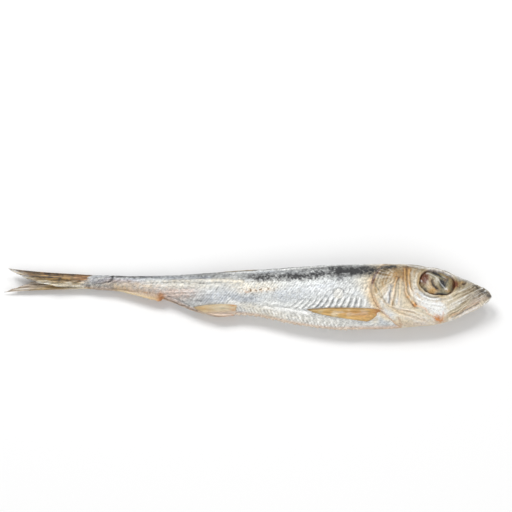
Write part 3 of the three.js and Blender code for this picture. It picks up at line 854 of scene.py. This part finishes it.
def dried_skin(name, look):
    """Silvery dried skin: stains, overlapping scales, pigment dots and crumbs."""
    material, tree, shader = new_material(name, {})
    place = value_at(tree, "skin_place", "Vector")
    net = grown(tree, SCALE_NET, place, *look["scale"])
    grain = grown(tree, DRY_GRAIN, place, *look["grain"])
    dark = value_at(tree, "slate")
    tone = look["level"]
    for value, weight in (
        (net["Tone"], look["scale_tone"]), (net["Rim"], look["scale_tone"] * 0.7),
        (maths(tree, "SUBTRACT", grain["Fine"], 0.5), look["grain_tone"]),
        # painted shade in the relief's dips and painted highlight on its crests
        (maths(tree, "SUBTRACT", value_at(tree, "crest"), 0.5), look["relief_shade_tone"]),
        # the colour made darker by region
        (value_at(tree, "dull"), -0.4),
    ):
        tone = maths(tree, "MULTIPLY_ADD", value, weight, tone)
    colour = shaded(tree, stained_colour(tree, look["base"], look["stains"]), tone)
    amount = maths(tree, "MULTIPLY_ADD", dark, 0.75, 0.03)
    colour = peppered(tree, place, 0.45, amount, 0.55, colour, linear(36, 35, 36))
    shine = maths(tree, "MULTIPLY", maths(tree, "SUBTRACT", 1.0, dark), look["metallic"])
    tree.links.new(shine, shader["Metallic"])
    rough = ranged(tree, grain["Soft"], 0.3, 0.7, look["roughness"] - 0.1, look["roughness"] + 0.12)
    tree.links.new(rough, shader["Roughness"])
    crumbs = maths(tree, "MULTIPLY", grain["Fine"], look["grain_bump"])
    height = maths(tree, "MULTIPLY_ADD", net["Tilt"], look["scale_bump"], crumbs)
    finish_surface(tree, shader, colour, height, 0.9, 0.2 * MM)
    return material


HEAD_LOOK = {
    "base": linear(222, 209, 184), "metallic": 0.1, "roughness": 0.42, "level": 0.92,
    "stains": ["cream", "silver", "blue", "olive", "pink", "gold", "orange", "rust", "slate", "white"],
    "scale": (1.1, 0.8, 0.0), "scale_tone": 0.05, "scale_bump": 0.25,
    "grain": (0.5, 0.45, 0.3), "grain_tone": 1.1, "grain_bump": 1.2, "relief_shade_tone": 0.6,
}
TRUNK_LOOK = {
    "base": linear(216, 218, 216), "metallic": 0.2, "roughness": 0.4, "level": 0.86,
    "stains": ["blue", "pink", "cream", "gold", "orange", "rust", "white", "slate"],
    "scale": (1.3, 0.9, 0.6), "scale_tone": 0.18, "scale_bump": 0.9,
    "grain": (0.42, 0.9, 0.8), "grain_tone": 1.6, "grain_bump": 1.2, "relief_shade_tone": 0.75,
}


# ---------------------------------------------------------------- making the skin
def make_head():
    """The head's skin. Its lip turns in behind the gill cover's edge: how far behind it, and how far in."""
    rows = 276
    lip = [(0.1, 0.996), (0.14, 0.985), (0.1, 0.965), (-0.2, 0.95), (-2.6, 0.9)]
    q, side = ring_shares(shown=200, under=128)
    edge = gill_edge(q)[None, :]
    outer = edge * np.linspace(0, 1, rows)[1:, None] ** 1.04
    s_rows = np.vstack([outer, *(edge + back for back, _ in lip)])
    shrink = np.vstack([np.ones_like(outer), *(np.full_like(edge, share) for _, share in lip)])
    nose = np.sqrt(np.clip(1 - (1 - np.minimum(s_rows / 0.9, 1)) ** 2, 0.0001, 1))
    return skin_piece("head_skin", s_rows, q, side, 0, 1, shrink * nose, head_forms)


def make_trunk():
    """The trunk's skin, from under the gill cover to inside the tail's lobes."""
    rows = 418
    q, side = ring_shares(shown=150, under=78)
    edge = gill_edge(q)[None, :]
    s_rows = mix(edge - 3, TRUNK_END, np.linspace(0, 1, rows)[:, None])
    shrink = 1 - 0.07 * (1 - rise(s_rows - edge, -2.6, 0.5))
    thin = 1 - 0.85 * rise(s_rows, TRUNK_END - 6, TRUNK_END)
    hollow = -0.5 * bell(q - 0.33, 0.12)[None, :] * span(s_rows, 44, 88, 8)
    hollow = hollow - 0.4 * bell(q - 0.86, 0.06)[None, :] * span(s_rows, 26, 118, 8)
    return skin_piece("trunk_skin", s_rows, q, side, hollow, thin, shrink, trunk_forms)


head = make_head()
trunk = make_trunk()
head.data.materials.append(dried_skin("Dried head skin", HEAD_LOOK))
trunk.data.materials.append(dried_skin("Dried silver skin", TRUNK_LOOK))


# ---------------------------------------------------------------- eyes
EYE_CREASE = [(22, 7.2), (20.4, 6.4), (18.6, 5.2), (17.4, 3.4), (16.2, 1.9), (15.3, 1)]
EYE_CRESCENT = [(20.4, 4.4), (20, 2.8), (18.5, 1.5)]
EYE_GOLD = [(22, 5), (21.6, 2.6), (20, 0.8)]
EYE_MARKS = {
    "relief": [
        (0.25, EYE_CREASE, 0.3), (-0.45, EYE_CRESCENT, 0.4), (0.3, EYE_GOLD, 0.9),
        (-0.6, (16.6, 3.6), (1.1, 2), -15), (0.3, (18.9, 3.9), (0.9, 1.8), 15),
        (-0.3, (23.2, 5.8), (1.6, 1.6)), (0.15, (14.3, 4.2), (0.6, 3), 10),
        (-0.4, (19.2, 7.2), (1.8, 0.6), 28), (0.12, (15, 6), (0.25, 2.4), 40),
    ],
    "cream": [
        (1.1, EYE_GOLD, 1.3), (1, (15.7, 1.4), (0.9, 0.8)), (0.6, (18.9, 3.9), (1, 1.8), 15),
        (0.5, (16, 5.9), (1.6, 0.4), 30),
    ],
    "gold": [
        (0.9, (20.3, 0.7), (2.6, 1), -25), (0.5, (21.2, 3), (1.5, 2.6), -15),
        (0.9, (15, 0.9), (1, 0.6)), (0.6, (14.2, 5.2), (0.5, 1.4), -10),
        (0.6, (20.9, -0.2), (1.4, 0.5), -20),
    ],
    "olive": [
        (1, (13.9, 4.2), (0.9, 3.2), 10), (0.8, (16.6, 6.6), (3, 1), 20),
        (0.9, (23.9, 3.2), (0.7, 2.6)), (0.35, (18.7, 4), (1.2, 2), 15),
    ],
    # The rust at (13.1, 2.8), along the eye's front edge, is painted shadow.
    "rust": [
        (1.6, (23.2, 5.7), (1.8, 2.6)), (1, (13.1, 2.8), (0.6, 2)), (0.6, EYE_CRESCENT, 0.6),
        (0.6, (15.6, 5), (0.6, 1.8), 30), (0.4, (21.2, -0.6), (2, 0.5), -20),
    ],
    "slate": [
        (1.3, (16.8, 3.3), (1, 1.9), -18), (1, EYE_CRESCENT, 0.36),
        (1.4, (19.3, 7.2), (2, 0.6), 28), (0.6, (17.2, 5.9), (2.2, 0.3), 28),
        (1.2, (17.4, -0.4), (1.8, 0.6), 8), (0.7, (22.8, 0.9), (0.8, 1.4), -40),
        (0.7, (15, 4.6), (0.3, 2), 30), (0.5, (14, 1.6), (0.4, 1.6), 20),
    ],
    "white": [
        (0.5, EYE_CREASE, 0.2), (0.4, (15.8, 1.5), (0.5, 0.3)), (0.4, (23.9, 4.2), (0.3, 0.6), -40),
        (0.3, (18.8, 4.4), (0.6, 1.3), 15), (0.3, (21.9, 3.6), (0.5, 1)),
        (0.4, (16.2, 5.6), (1, 0.16), 30),
    ],
}


def socket_rings(rings, count):
    """Places in the socket's oval: rings of points from its middle to a little past its rim."""
    reach = np.linspace(0, 1.03, rings + 1)[1:, None]
    turn = 2 * np.pi * np.arange(count) / count
    tilt, power = math.radians(SOCKET["tilt"]), SOCKET["squareness"]
    out = reach / (np.abs(np.cos(turn)) ** power + np.abs(np.sin(turn)) ** power) ** (1 / power)
    u, v = SOCKET["size"][0] * out * np.cos(turn), SOCKET["size"][1] * out * np.sin(turn)
    s = SOCKET["centre"][0] + u * math.cos(tilt) - v * math.sin(tilt)
    y = SOCKET["centre"][1] + u * math.sin(tilt) + v * math.cos(tilt)
    return s.ravel(), y.ravel(), np.repeat(reach, count)


def make_eye(name, side):
    """The shrunken eyeball: a low dome under a folded, dried film, closed behind."""
    rings, count, thick = 64, 112, 1.1
    s, y, reach = socket_rings(rings, count)
    p = body_point(s, depth_share(s, y), side)
    fine = noise(p, 0.45, 31, 2)
    fields = added_marks(EYE_MARKS, wandered(s, y, p, 0.12), 1, 0.9 + 0.3 * fine)
    folds = 0.5 * fields.pop("relief") + 0.05 * fine
    depth = 0.85 - 0.35 * (1 - reach**2) + 0.3 * rise(reach, 0.85, 1) - folds
    # The rust round the eye's rim and the slate along its lower rim are partly painted shade where the eye
    # meets the socket.
    fields = with_more(fields, {
        "rust": 0.8 * rise(reach, 0.95, 1), "olive": 0.35 * rise(fine, -0.1, 0.6),
        "slate": 0.8 * rise(reach, 0.88, 0.97) * rise(1.5 - y, -1, 3),
    })
    inward = np.array([0, 0, side])
    top = p - depth[:, None] * inward
    under = p - (depth + thick)[:, None] * inward
    back = np.arange(rings * count).reshape(rings, count)[::-1].ravel()
    points = np.vstack([top, under[back], top[:count].mean(0), under[:count].mean(0)])
    order = np.r_[np.arange(rings * count), back, 0, 0]
    stains = {key: np.clip(value, 0, 1)[order] for key, value in fields.items()}
    return add_mesh(name, points, ring_faces(2 * rings, count, side), stains | {"skin_place": points})


def eye_material():
    values = {"Roughness": 0.36, "Specular IOR Level": 0.3, "Coat Weight": 0.12}
    material, tree, shader = new_material("Dried eye", values)
    grain = grown(tree, DRY_GRAIN, value_at(tree, "skin_place", "Vector"), 0.4, 0.6)["Fine"]
    stains = ["cream", "gold", "olive", "rust", "slate", "white"]
    colour = stained_colour(tree, linear(150, 144, 120), stains)
    colour = shaded(tree, colour, ranged(tree, grain, 0.3, 0.7, 0.5, 1.15))
    finish_surface(tree, shader, colour, grain, 0.7, 0.12 * MM)
    return material


dried_eye = eye_material()
eyes = [make_eye("left_eye", 1), make_eye("right_eye", -1)]
for eye in eyes:
    eye.data.materials.append(dried_eye)


# ---------------------------------------------------------------- running Geometry Nodes
def new_geometry_tree(name, takes):
    """An empty Geometry Nodes tree that takes a guide mesh and named values."""
    return new_tree("Geometry", name, [("Geometry", "Geometry", None), *takes], [("Geometry", "Geometry")])


def finish_geometry(tree, geometry, material, gives):
    """Ends a tree: instances made real, smooth shading and the material."""
    whole = result(tree, "GeometryNodeRealizeInstances", {"Geometry": geometry})
    soft = result(tree, "GeometryNodeSetShadeSmooth", {"Geometry": whole, "Shade Smooth": True})
    done = result(tree, "GeometryNodeSetMaterial", {"Geometry": soft, "Material": material})
    tree.links.new(done, gives[0])


def joined(tree, parts):
    made = node(tree, "GeometryNodeJoinGeometry")
    for part in parts:
        tree.links.new(part, made.inputs[0])
    return made.outputs[0]


def run_tree(guide, tree, values, name):
    """Turns a guide mesh and a tree into a plain mesh of that name."""
    modifier = guide.modifiers.new("made", "NODES")
    modifier.node_group = tree
    for item in tree.interface.items_tree:
        if item.in_out == "INPUT" and item.name in values:
            modifier[item.identifier] = values[item.name]
    bpy.context.view_layer.update()
    graph = bpy.context.evaluated_depsgraph_get()
    evaluated = guide.evaluated_get(graph)
    mesh = bpy.data.meshes.new_from_object(evaluated, preserve_all_data_layers=True, depsgraph=graph)
    bpy.data.objects.remove(guide)
    mesh.name = name
    return placed(name, mesh)


# ---------------------------------------------------------------- fins
def make_fin_tree():
    """A thin ruffled web over a grid, and a tapering ray along each of its marked edges."""
    tree, takes, gives = new_geometry_tree("Rayed Fin", [
        ("Web Thickness", "Float", 0.0002), ("Ray Radius", "Float", 0.0002), ("Ray Sides", "Int", 6),
        ("Ruffle", "Float", 0.0001), ("Ruffle Scale", "Float", 400.0), ("Seed", "Float", 1.0),
        ("Material", "Material", None),
    ])
    ruffle = {"W": takes["Seed"], "Scale": takes["Ruffle Scale"], "Detail": 1.0}
    ruffle = result(tree, "ShaderNodeTexNoise", ruffle, noise_dimensions="4D")
    amount = maths(tree, "MULTIPLY", maths(tree, "SUBTRACT", ruffle, 0.5), takes["Ruffle"])
    up = result(tree, "GeometryNodeInputNormal")
    offset = result(tree, "ShaderNodeVectorMath", {0: up, 3: amount}, operation="SCALE")
    sheet = result(tree, "GeometryNodeSetPosition", {"Geometry": takes["Geometry"], "Offset": offset})
    raised = result(tree, "GeometryNodeExtrudeMesh", {
        "Mesh": sheet, "Offset Scale": takes["Web Thickness"], "Individual": False,
    })
    web = joined(tree, [raised, result(tree, "GeometryNodeFlipFaces", {"Mesh": sheet})])
    closed = result(tree, "GeometryNodeMergeByDistance", {"Geometry": web, "Distance": 1e-7})
    is_ray = result(tree, "GeometryNodeInputNamedAttribute", {"Name": "ray"}, data_type="BOOLEAN")
    lines = result(tree, "GeometryNodeMeshToCurve", {"Mesh": sheet, "Selection": is_ray})
    taper = result(tree, "GeometryNodeInputNamedAttribute", {"Name": "taper"}, data_type="FLOAT")
    outline = {"Resolution": takes["Ray Sides"], "Radius": takes["Ray Radius"]}
    outline = result(tree, "GeometryNodeCurvePrimitiveCircle", outline)
    rays = result(tree, "GeometryNodeCurveToMesh", {
        "Curve": lines, "Profile Curve": outline, "Scale": taper, "Fill Caps": True,
    })
    finish_geometry(tree, joined(tree, [closed, rays]), takes["Material"], gives)
    return tree


def fin_shares(shape):
    """How far each point of a fin's grid is from root to margin, and from its first ray to its last.

    The rays fork, so their columns start in pairs, and every fourth column runs between two rays.
    """
    rays, columns = shape["rays"], shape["rays"] * 4
    across = np.arange(columns + 1) / columns
    along = np.linspace(0, 1, shape["steps"] + 1)[:, None]
    pair = (np.floor(across * rays) + 0.5) / rays
    fork = mix(0.3, 1, rise(along, 0.3, 0.85))
    between = (np.arange(columns + 1) % 4 == 0)[None, :]
    share = np.where(between, across, np.clip(pair + (across - pair) * fork, 0, 1))
    torn = shape["ragged"] * np.random.default_rng(shape["seed"]).random(columns + 1)
    torn = torn * (0.4 + 0.6 * (np.arange(columns + 1) % 2 == 0)) * np.sqrt(np.sin(np.pi * across) + 0.001)
    corner = 1 - shape.get("corner", 0) * (1 - rise(across, 0, 0.13))
    return along * (1 - torn[None, :] * along**2) * corner, share, between


def fin_points(shape, side, reach, share, between):
    """The grid's points, and their places on the fin laid flat, which its streaks follow."""
    first, last, a, b, c = np.array([*shape["root"], *shape["margin"]], float)
    t = share[..., None]
    rim = a * (1 - t) ** 2 + 2 * b * t * (1 - t) + c * t**2
    s, y = np.moveaxis(mix(mix(first, last, t), rim, reach[..., None]), -1, 0)
    y = y + mix(*shape["bow"], share) * 4 * reach * (1 - reach)
    folds = shape["folds"] * np.cos(2 * np.pi * (3.2 * share + 0.4 * reach)) * rise(reach, 0.1, 0.4)
    sag = shape["sag"] * between * np.sin(np.pi * reach)
    z = shape["height"](s, y, reach, share, side) + side * (folds - sag)
    points = np.stack([TOTAL_LENGTH / 2 - s, y, np.maximum(z, LOWEST_FIN)], axis=-1)
    run = np.hypot(*(b - first))
    width = np.hypot(*(last - first)) + 2
    place = np.stack([reach * run, share * width, share * 0], axis=-1)
    return points.reshape(-1, 3), place.reshape(-1, 3)


def mark_rays(guide, wide):
    """Marks the edges that run from root to margin in every second column."""
    ends = np.zeros(len(guide.data.edges) * 2, dtype=np.int32)
    guide.data.edges.foreach_get("vertices", ends)
    low_end, high_end = np.sort(ends.reshape(-1, 2), axis=1).T
    marked = guide.data.attributes.new("ray", "BOOLEAN", "EDGE")
    marked.data.foreach_set("value", (high_end - low_end == wide) & (low_end % wide % 2 == 1))


def fin_guide(shape, side):
    """A grid from a fin's root to its margin, with its stains and its rays marked on it."""
    reach, share, between = fin_shares(shape)
    points, place = fin_points(shape, side, reach, share, between)
    rows, wide = reach.shape
    corners = [i * wide + j for i in range(rows - 1) for j in range(wide - 1)]
    faces = facing(side, [(n, n + wide, n + wide + 1, n + 1) for n in corners])
    reach, share = reach.ravel(), share.ravel()
    fields = {name: 0 * reach for name in FIN_STAINS} | shape["stains"](reach, share, points)
    stains = {name: np.clip(value, 0, 1) for name, value in fields.items()}
    guide = add_mesh("guide", points, faces, stains | {"taper": mix(1, 0.3, reach), "fin_place": place})
    mark_rays(guide, wide)
    return guide


FIN_STAINS = ["cream", "olive", "pink", "gold", "orange", "rust", "slate", "white"]


def fin_material(name, base, streak_tone, specks):
    """Dried fin: stains, streaks along the rays and pigment dots."""
    material, tree, shader = new_material(name, {
        "Roughness": 0.42, "Subsurface Weight": 0.15, "Subsurface Scale": 0.001,
        "Subsurface Radius": (0.6, 0.4, 0.2),
    })
    place = value_at(tree, "fin_place", "Vector")
    streak = grown(tree, DRY_GRAIN, place, 3.0, 0.24)["Fine"]
    light = ranged(tree, streak, 0.3, 0.7, 1 - streak_tone, 1 + streak_tone * 0.7)
    colour = shaded(tree, stained_colour(tree, base, FIN_STAINS), light)
    amount = maths(tree, "MULTIPLY_ADD", value_at(tree, "slate"), 0.7, specks)
    colour = peppered(tree, place, 0.5, amount, 0.75, colour, linear(52, 42, 34))
    finish_surface(tree, shader, colour, streak, 0.9, 0.15 * MM)
    return material


def on_flank(s, y, reach, share, side):
    """Height of a fin that lies against the flank, a little off it."""
    skin = body_point(s, depth_share(s, y), side)[..., 2]
    lift = mix(-0.3, 0.15, rise(reach, 0, 0.09))
    return skin + side * (lift + 0.25 * reach + 0.12 * np.sin(5 * share + 3 * reach))


def off_mid_plane(lift, wave, start=0):
    """Height of a fin that leaves the mid-plane, or starts above it, and rises or sinks to its margin."""

    def height(s, y, reach, share, side):
        return mid_at(s) + start * (1 - reach) + lift * reach**2 + wave * np.sin(np.pi * (reach * 2 + share))

    return height


def pectoral_stains(reach, share, p):
    patchy = noise(p, (2.4, 0.8, 0.8), 41, 2)
    near_root = 1 - rise(reach, 0.02, 0.2)
    return {
        "orange": 0.5 * bell(reach - 0.4, 0.3) * bell(share - 0.55, 0.35) + 0.6 * near_root,
        "gold": 0.45 * rise(patchy, -0.2, 0.6) + 0.4 * bell(share, 0.15) + 0.3 * bell(share - 0.9, 0.12),
        "cream": 0.75 * rise(-patchy, -0.2, 0.4) * bell(share - 0.45, 0.3) * rise(reach, 0.1, 0.3),
        "olive": 0.5 * bell(share - 0.05, 0.1) * rise(reach, 0.1, 0.4) + 0.3 * rise(reach, 0.7, 0.95),
        "rust": 0.35 * bell(share, 0.05) + 0.25 * bell(share - 1, 0.05) + 0.35 * bell(reach - 0.03, 0.05),
        "slate": 0.25 * bell(share, 0.06) * rise(reach, 0.3, 0.6) + 0.35 * rise(reach, 0.93, 1),
    }


def pelvic_stains(reach, share, p):
    patchy = noise(p, (2.4, 0.8, 0.8), 42, 2)
    return {
        "orange": 0.7 * (1 - rise(reach, 0.02, 0.26)) * rise(patchy, -0.7, 0.2),
        "gold": 0.35 * bell(share - 0.2, 0.2) * rise(reach, 0.3, 0.8) + 0.3 * rise(patchy, 0.1, 0.6),
        "pink": 0.8 * rise(share, 0.35, 0.8),
        "cream": 0.7 * bell(reach - 0.4, 0.35) * bell(share - 0.35, 0.35),
        "slate": 0.3 * rise(reach, 0.9, 1) + 0.15 * bell(share, 0.08) * rise(reach, 0.3, 0.8),
    }


def upper_lobe_stains(reach, share, p):
    fine = noise(p, (2.6, 0.6, 0.6), 43, 2)
    lines = streaks(reach, share, 0.22, 0.06, 47)
    spots = noise(p, 0.7, 46, 2)
    stripe = rise(share + 0.15 * fine, 0.5, 0.68)
    dark_part = (1 - stripe) * rise(reach, 0.12, 0.35)
    return {
        "cream": 0.95 * stripe + 0.3 * rise(reach, 0.8, 1) + 0.45 * rise(-lines, 0.2, 0.6),
        "gold": 0.7 * (1 - stripe) * rise(fine, -0.4, 0.5) * (1 - rise(reach, 0.6, 0.85))
        + 0.25 * stripe * rise(-fine, 0, 0.5),
        "olive": 0.5 * bell(share - 0.42, 0.2) * rise(reach, 0.2, 0.5),
        "orange": 0.6 * bell(reach - 0.22, 0.1) * bell(share - 0.3, 0.25),
        "rust": 0.5 * bell(share - 0.1, 0.14) * (0.6 + 0.5 * fine) + 0.4 * dark_part * rise(-fine, 0, 0.5),
        "slate": 0.55 * bell(share - 0.04, 0.06) + 0.45 * dark_part * rise(spots, 0.1, 0.6)
        + 0.2 * stripe * rise(spots, 0.2, 0.6) + (0.65 - 0.4 * stripe) * rise(lines, 0.15, 0.55),
        "white": 0.5 * rise(reach, 0.82, 0.97) * rise(spots, -0.3, 0.3) + 0.3 * stripe * rise(fine, 0.1, 0.6),
    }


def lower_lobe_stains(reach, share, p):
    fine = noise(p, (2.6, 0.6, 0.6), 44, 2)
    lines = streaks(reach, share, 0.22, 0.07, 48)
    tip = rise(reach, 0.6, 0.85)
    return {
        "cream": 0.8 * (1 - rise(reach, 0.3, 0.45)) + 0.3 * tip,
        "gold": 0.6 * bell(reach - 0.52, 0.2) * rise(fine, -0.8, 0.1),
        "olive": 0.2 * rise(fine, -0.2, 0.6),
        "pink": 0.5 * tip,
        "rust": 0.2 * rise(-fine, 0.15, 0.6) + 0.2 * bell(share, 0.1),
        "slate": (0.14 + 0.16 * rise(-fine, 0, 0.5)) * rise(reach, 0.55, 0.85)
        + 0.12 * bell(share, 0.06) + 0.26 * rise(lines, 0.15, 0.55),
        "white": 0.2 * rise(fine, 0.2, 0.6) * rise(reach, 0.5, 0.8) + 0.2 * rise(-lines, 0.2, 0.6),
    }


def anal_stains(reach, share, p):
    return {
        "cream": 0.2 + 0.3 * share,
        "gold": 0.4 * bell(share - 0.15, 0.3) * reach + 0.15 * reach,
        "pink": 0.8 * (1 - rise(reach, 0.3, 1)),
        "orange": 0.8 * bell(share - 0.1, 0.09),
        "rust": 0.45 * bell(share - 0.1, 0.05),
    }


def dorsal_stains(reach, share, p):
    return {"slate": 0.35 + 0.4 * rise(noise(p, 1.5, 45), -0.2, 0.5), "olive": 0.4 + 0 * reach}


amber = fin_material("Amber fin", linear(222, 182, 110), 0.36, 0.02)
tan = fin_material("Tan fin", linear(222, 196, 156), 0.3, 0.02)
tail = fin_material("Tail fin", linear(164, 140, 100), 0.85, 0.18)
pale_tail = fin_material("Pale tail fin", linear(190, 168, 130), 0.4, 0.06)
straw = fin_material("Straw fin", linear(226, 204, 160), 0.3, 0.03)
FINS = {
    "pectoral": {
        "root": [(37.4, -5.7), (38.8, -7)], "margin": [(62.4, -5.2), (60.5, -7.2), (42.3, -9.3)],
        "bow": (0.55, -0.35), "sag": 0.1, "folds": 0.12, "ragged": 0.05, "seed": 3, "rays": 11, "steps": 44,
        "height": on_flank, "stains": pectoral_stains, "material": amber, "ray_radius": 0.15, "pair": True,
    },
    "pelvic": {
        "root": [(85.7, -3.2), (86.6, -6.1)], "margin": [(100.4, -3.6), (99, -5.2), (92, -6.5)],
        "bow": (0.5, -0.1), "sag": 0.08, "folds": 0.08, "ragged": 0.06, "seed": 4, "rays": 8, "steps": 30,
        "height": on_flank, "stains": pelvic_stains, "material": tan, "ray_radius": 0.13, "pair": True,
    },
    "upper_tail_lobe": {
        "root": [(132, 8.2), (132, 4)], "margin": [(163.8, 10.6), (157.5, 5.2), (145, 4)],
        "bow": (-0.2, 0.1), "sag": 0.12, "folds": 0.28, "ragged": 0.09, "seed": 5, "rays": 13, "steps": 44,
        "height": off_mid_plane(1, 0.25), "stains": upper_lobe_stains, "material": tail, "ray_radius": 0.17,
    },
    "lower_tail_lobe": {
        "root": [(132, 6.6), (132, 3.5)], "margin": [(153.8, 6.9), (159.8, 4.9), (165, 2.8)],
        "bow": (0, 0.4), "sag": 0.1, "folds": 0.2, "ragged": 0.06, "seed": 6, "rays": 12, "steps": 44,
        "height": off_mid_plane(-1.3, 0.15), "stains": lower_lobe_stains, "material": pale_tail,
        "ray_radius": 0.17,
    },
    "anal_fin": {
        "root": [(109.2, 0.8), (126, 4.4)], "margin": [(110.4, -1.6), (116.5, -0.2), (127.8, 3.1)],
        "bow": (0, 0), "sag": 0.05, "folds": 0.04, "ragged": 0.2, "seed": 7, "rays": 17, "steps": 14,
        "height": off_mid_plane(0.6, 0.08, 1.5), "stains": anal_stains, "material": straw,
        "ray_radius": 0.13, "corner": 0.75,
    },
    "dorsal_fin": {
        "root": [(72, 9.4), (87, 8.3)], "margin": [(88.5, 9.7), (94, 9.2), (97, 8.7)],
        "bow": (0.3, 0.1), "sag": 0.05, "folds": 0.1, "ragged": 0.1, "seed": 8, "rays": 14, "steps": 36,
        "height": off_mid_plane(-1.4, 0.1), "stains": dorsal_stains, "material": straw, "ray_radius": 0.13,
    },
}


def make_fins():
    """Every fin, and both of a pair."""
    tree = make_fin_tree()
    made = []
    for kind, shape in FINS.items():
        names = {1: f"left_{kind}_fin", -1: f"right_{kind}_fin"} if "pair" in shape else {1: kind}
        for side, name in names.items():
            values = {
                "Web Thickness": 0.14 * MM, "Ray Radius": shape["ray_radius"] * MM, "Ruffle": 0.3 * MM,
                "Ruffle Scale": 450.0, "Seed": float(shape["seed"] + side), "Material": shape["material"],
            }
            made.append(run_tree(fin_guide(shape, side), tree, values, name))
    return made


# ---------------------------------------------------------------- scutes along the belly
def make_scute_tree():
    """Small pointed scutes, one after another along a line."""
    tree, takes, gives = new_geometry_tree("Scute Row", [
        ("Spacing", "Float", 0.0019), ("Length", "Float", 0.0022), ("Width", "Float", 0.0007),
        ("Seed", "Int", 5), ("Material", "Material", None),
    ])
    line = result(tree, "GeometryNodeMeshToCurve", {"Mesh": takes["Geometry"]})
    spacing = {"Curve": line, "Length": takes["Spacing"]}
    spots = node(tree, "GeometryNodeCurveToPoints", spacing, mode="LENGTH").outputs
    scute = result(tree, "GeometryNodeMeshCone", {
        "Vertices": 8, "Side Segments": 3, "Radius Top": 0.0, "Radius Bottom": takes["Width"],
        "Depth": takes["Length"],
    })
    size = {2: 0.8, 3: 1.2, "Seed": takes["Seed"]}
    size = node(tree, "FunctionNodeRandomValue", size, data_type="FLOAT").outputs[1]
    copies = result(tree, "GeometryNodeInstanceOnPoints", {
        "Points": spots["Points"], "Instance": scute, "Rotation": spots["Rotation"], "Scale": size,
    })
    finish_geometry(tree, copies, takes["Material"], gives)
    return tree


def scute_material():
    material, tree, shader = new_material("Belly scute", {"Roughness": 0.42})
    spot = node(tree, "ShaderNodeTexCoord").outputs["Object"]
    in_mm = result(tree, "ShaderNodeMapping", {"Vector": spot, "Scale": (1 / MM,) * 3})
    grain = grown(tree, DRY_GRAIN, in_mm, 0.7, 0.4)["Fine"]
    patchy = ranged(tree, grain, 0.35, 0.65)
    colour = blend_colour(tree, patchy, linear(196, 172, 148), linear(232, 222, 208))
    finish_surface(tree, shader, colour, grain, 0.5, 0.1 * MM)
    return material


def make_scutes():
    """The keel of scutes, from the throat to the vent."""
    s = np.linspace(45, 96, 60)
    points = np.stack([TOTAL_LENGTH / 2 - s, belly_at(s) + 0.18, mid_at(s)], axis=-1)
    guide = add_mesh("guide", points, [], {}, [(i, i + 1) for i in range(len(s) - 1)])
    values = {
        "Spacing": 1.9 * MM, "Length": 2.3 * MM, "Width": 0.62 * MM, "Seed": 9, "Material": scute_material(),
    }
    return run_tree(guide, make_scute_tree(), values, "belly_scutes")


pieces = {"silver_skin": [head, trunk, make_scutes()], "fin": make_fins(), "eye": eyes}
for slot, members in pieces.items():
    for piece in members:
        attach(piece, "root")
        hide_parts("dried_fish")


# ---------------------------------------------------------------- floor, light and camera
def make_floor():
    bpy.ops.mesh.primitive_plane_add(size=6.0, location=(0, 0, 0))
    floor = bpy.context.object
    floor.name = "studio_floor"
    material, _, _ = new_material("Studio paper", {"Base Color": (0.9, 0.9, 0.9, 1), "Roughness": 0.9})
    floor.data.materials.append(material)


def aimed(name, data, place, aim):
    """A light or camera at a place, turned towards a point."""
    made = placed(name, data)
    made.location = place
    made.rotation_euler = (Vector(aim) - Vector(place)).to_track_quat("-Z", "Y").to_euler()
    return made


def add_light(name, place, size, power):
    light = bpy.data.lights.new(name, "AREA")
    light.shape = "DISK"
    light.size = size
    light.energy = power
    aimed(name, light, place, (0, 0, 0))


def make_camera(elevation, lens, pixel):
    """Looks down so that the fish lies as in the photograph. pixel is a 512th of the frame, in mm."""
    e = math.radians(elevation)
    aim = Vector((3.2, 40.5 * pixel / math.sin(e), 5.5)) * MM
    back = Vector((0, -math.cos(e), math.sin(e)))
    distance = 512 * pixel * lens / SENSOR * MM + aim.y * math.cos(e)
    data = bpy.data.cameras.new("camera")
    data.lens = lens
    data.sensor_width = SENSOR
    data.clip_start = 0.01
    bpy.context.scene.camera = aimed("camera", data, aim + back * distance, aim)


make_floor()
make_camera(elevation=72, lens=100, pixel=0.3367)
add_light("key", (-0.3, 0.5, 0.7), size=0.4, power=4.6)
add_light("fill", (0.4, -0.6, 0.6), size=0.7, power=2.8)
add_light("glint", (0.15, 0.35, 0.5), size=0.12, power=0.5)
world = bpy.data.worlds.new("studio")
world.use_nodes = True
world.node_tree.nodes["Background"].inputs["Color"].default_value = (1, 1, 1, 1)
world.node_tree.nodes["Background"].inputs["Strength"].default_value = 0.45
bpy.context.scene.world = world
bpy.context.scene.view_settings.view_transform = "Standard"
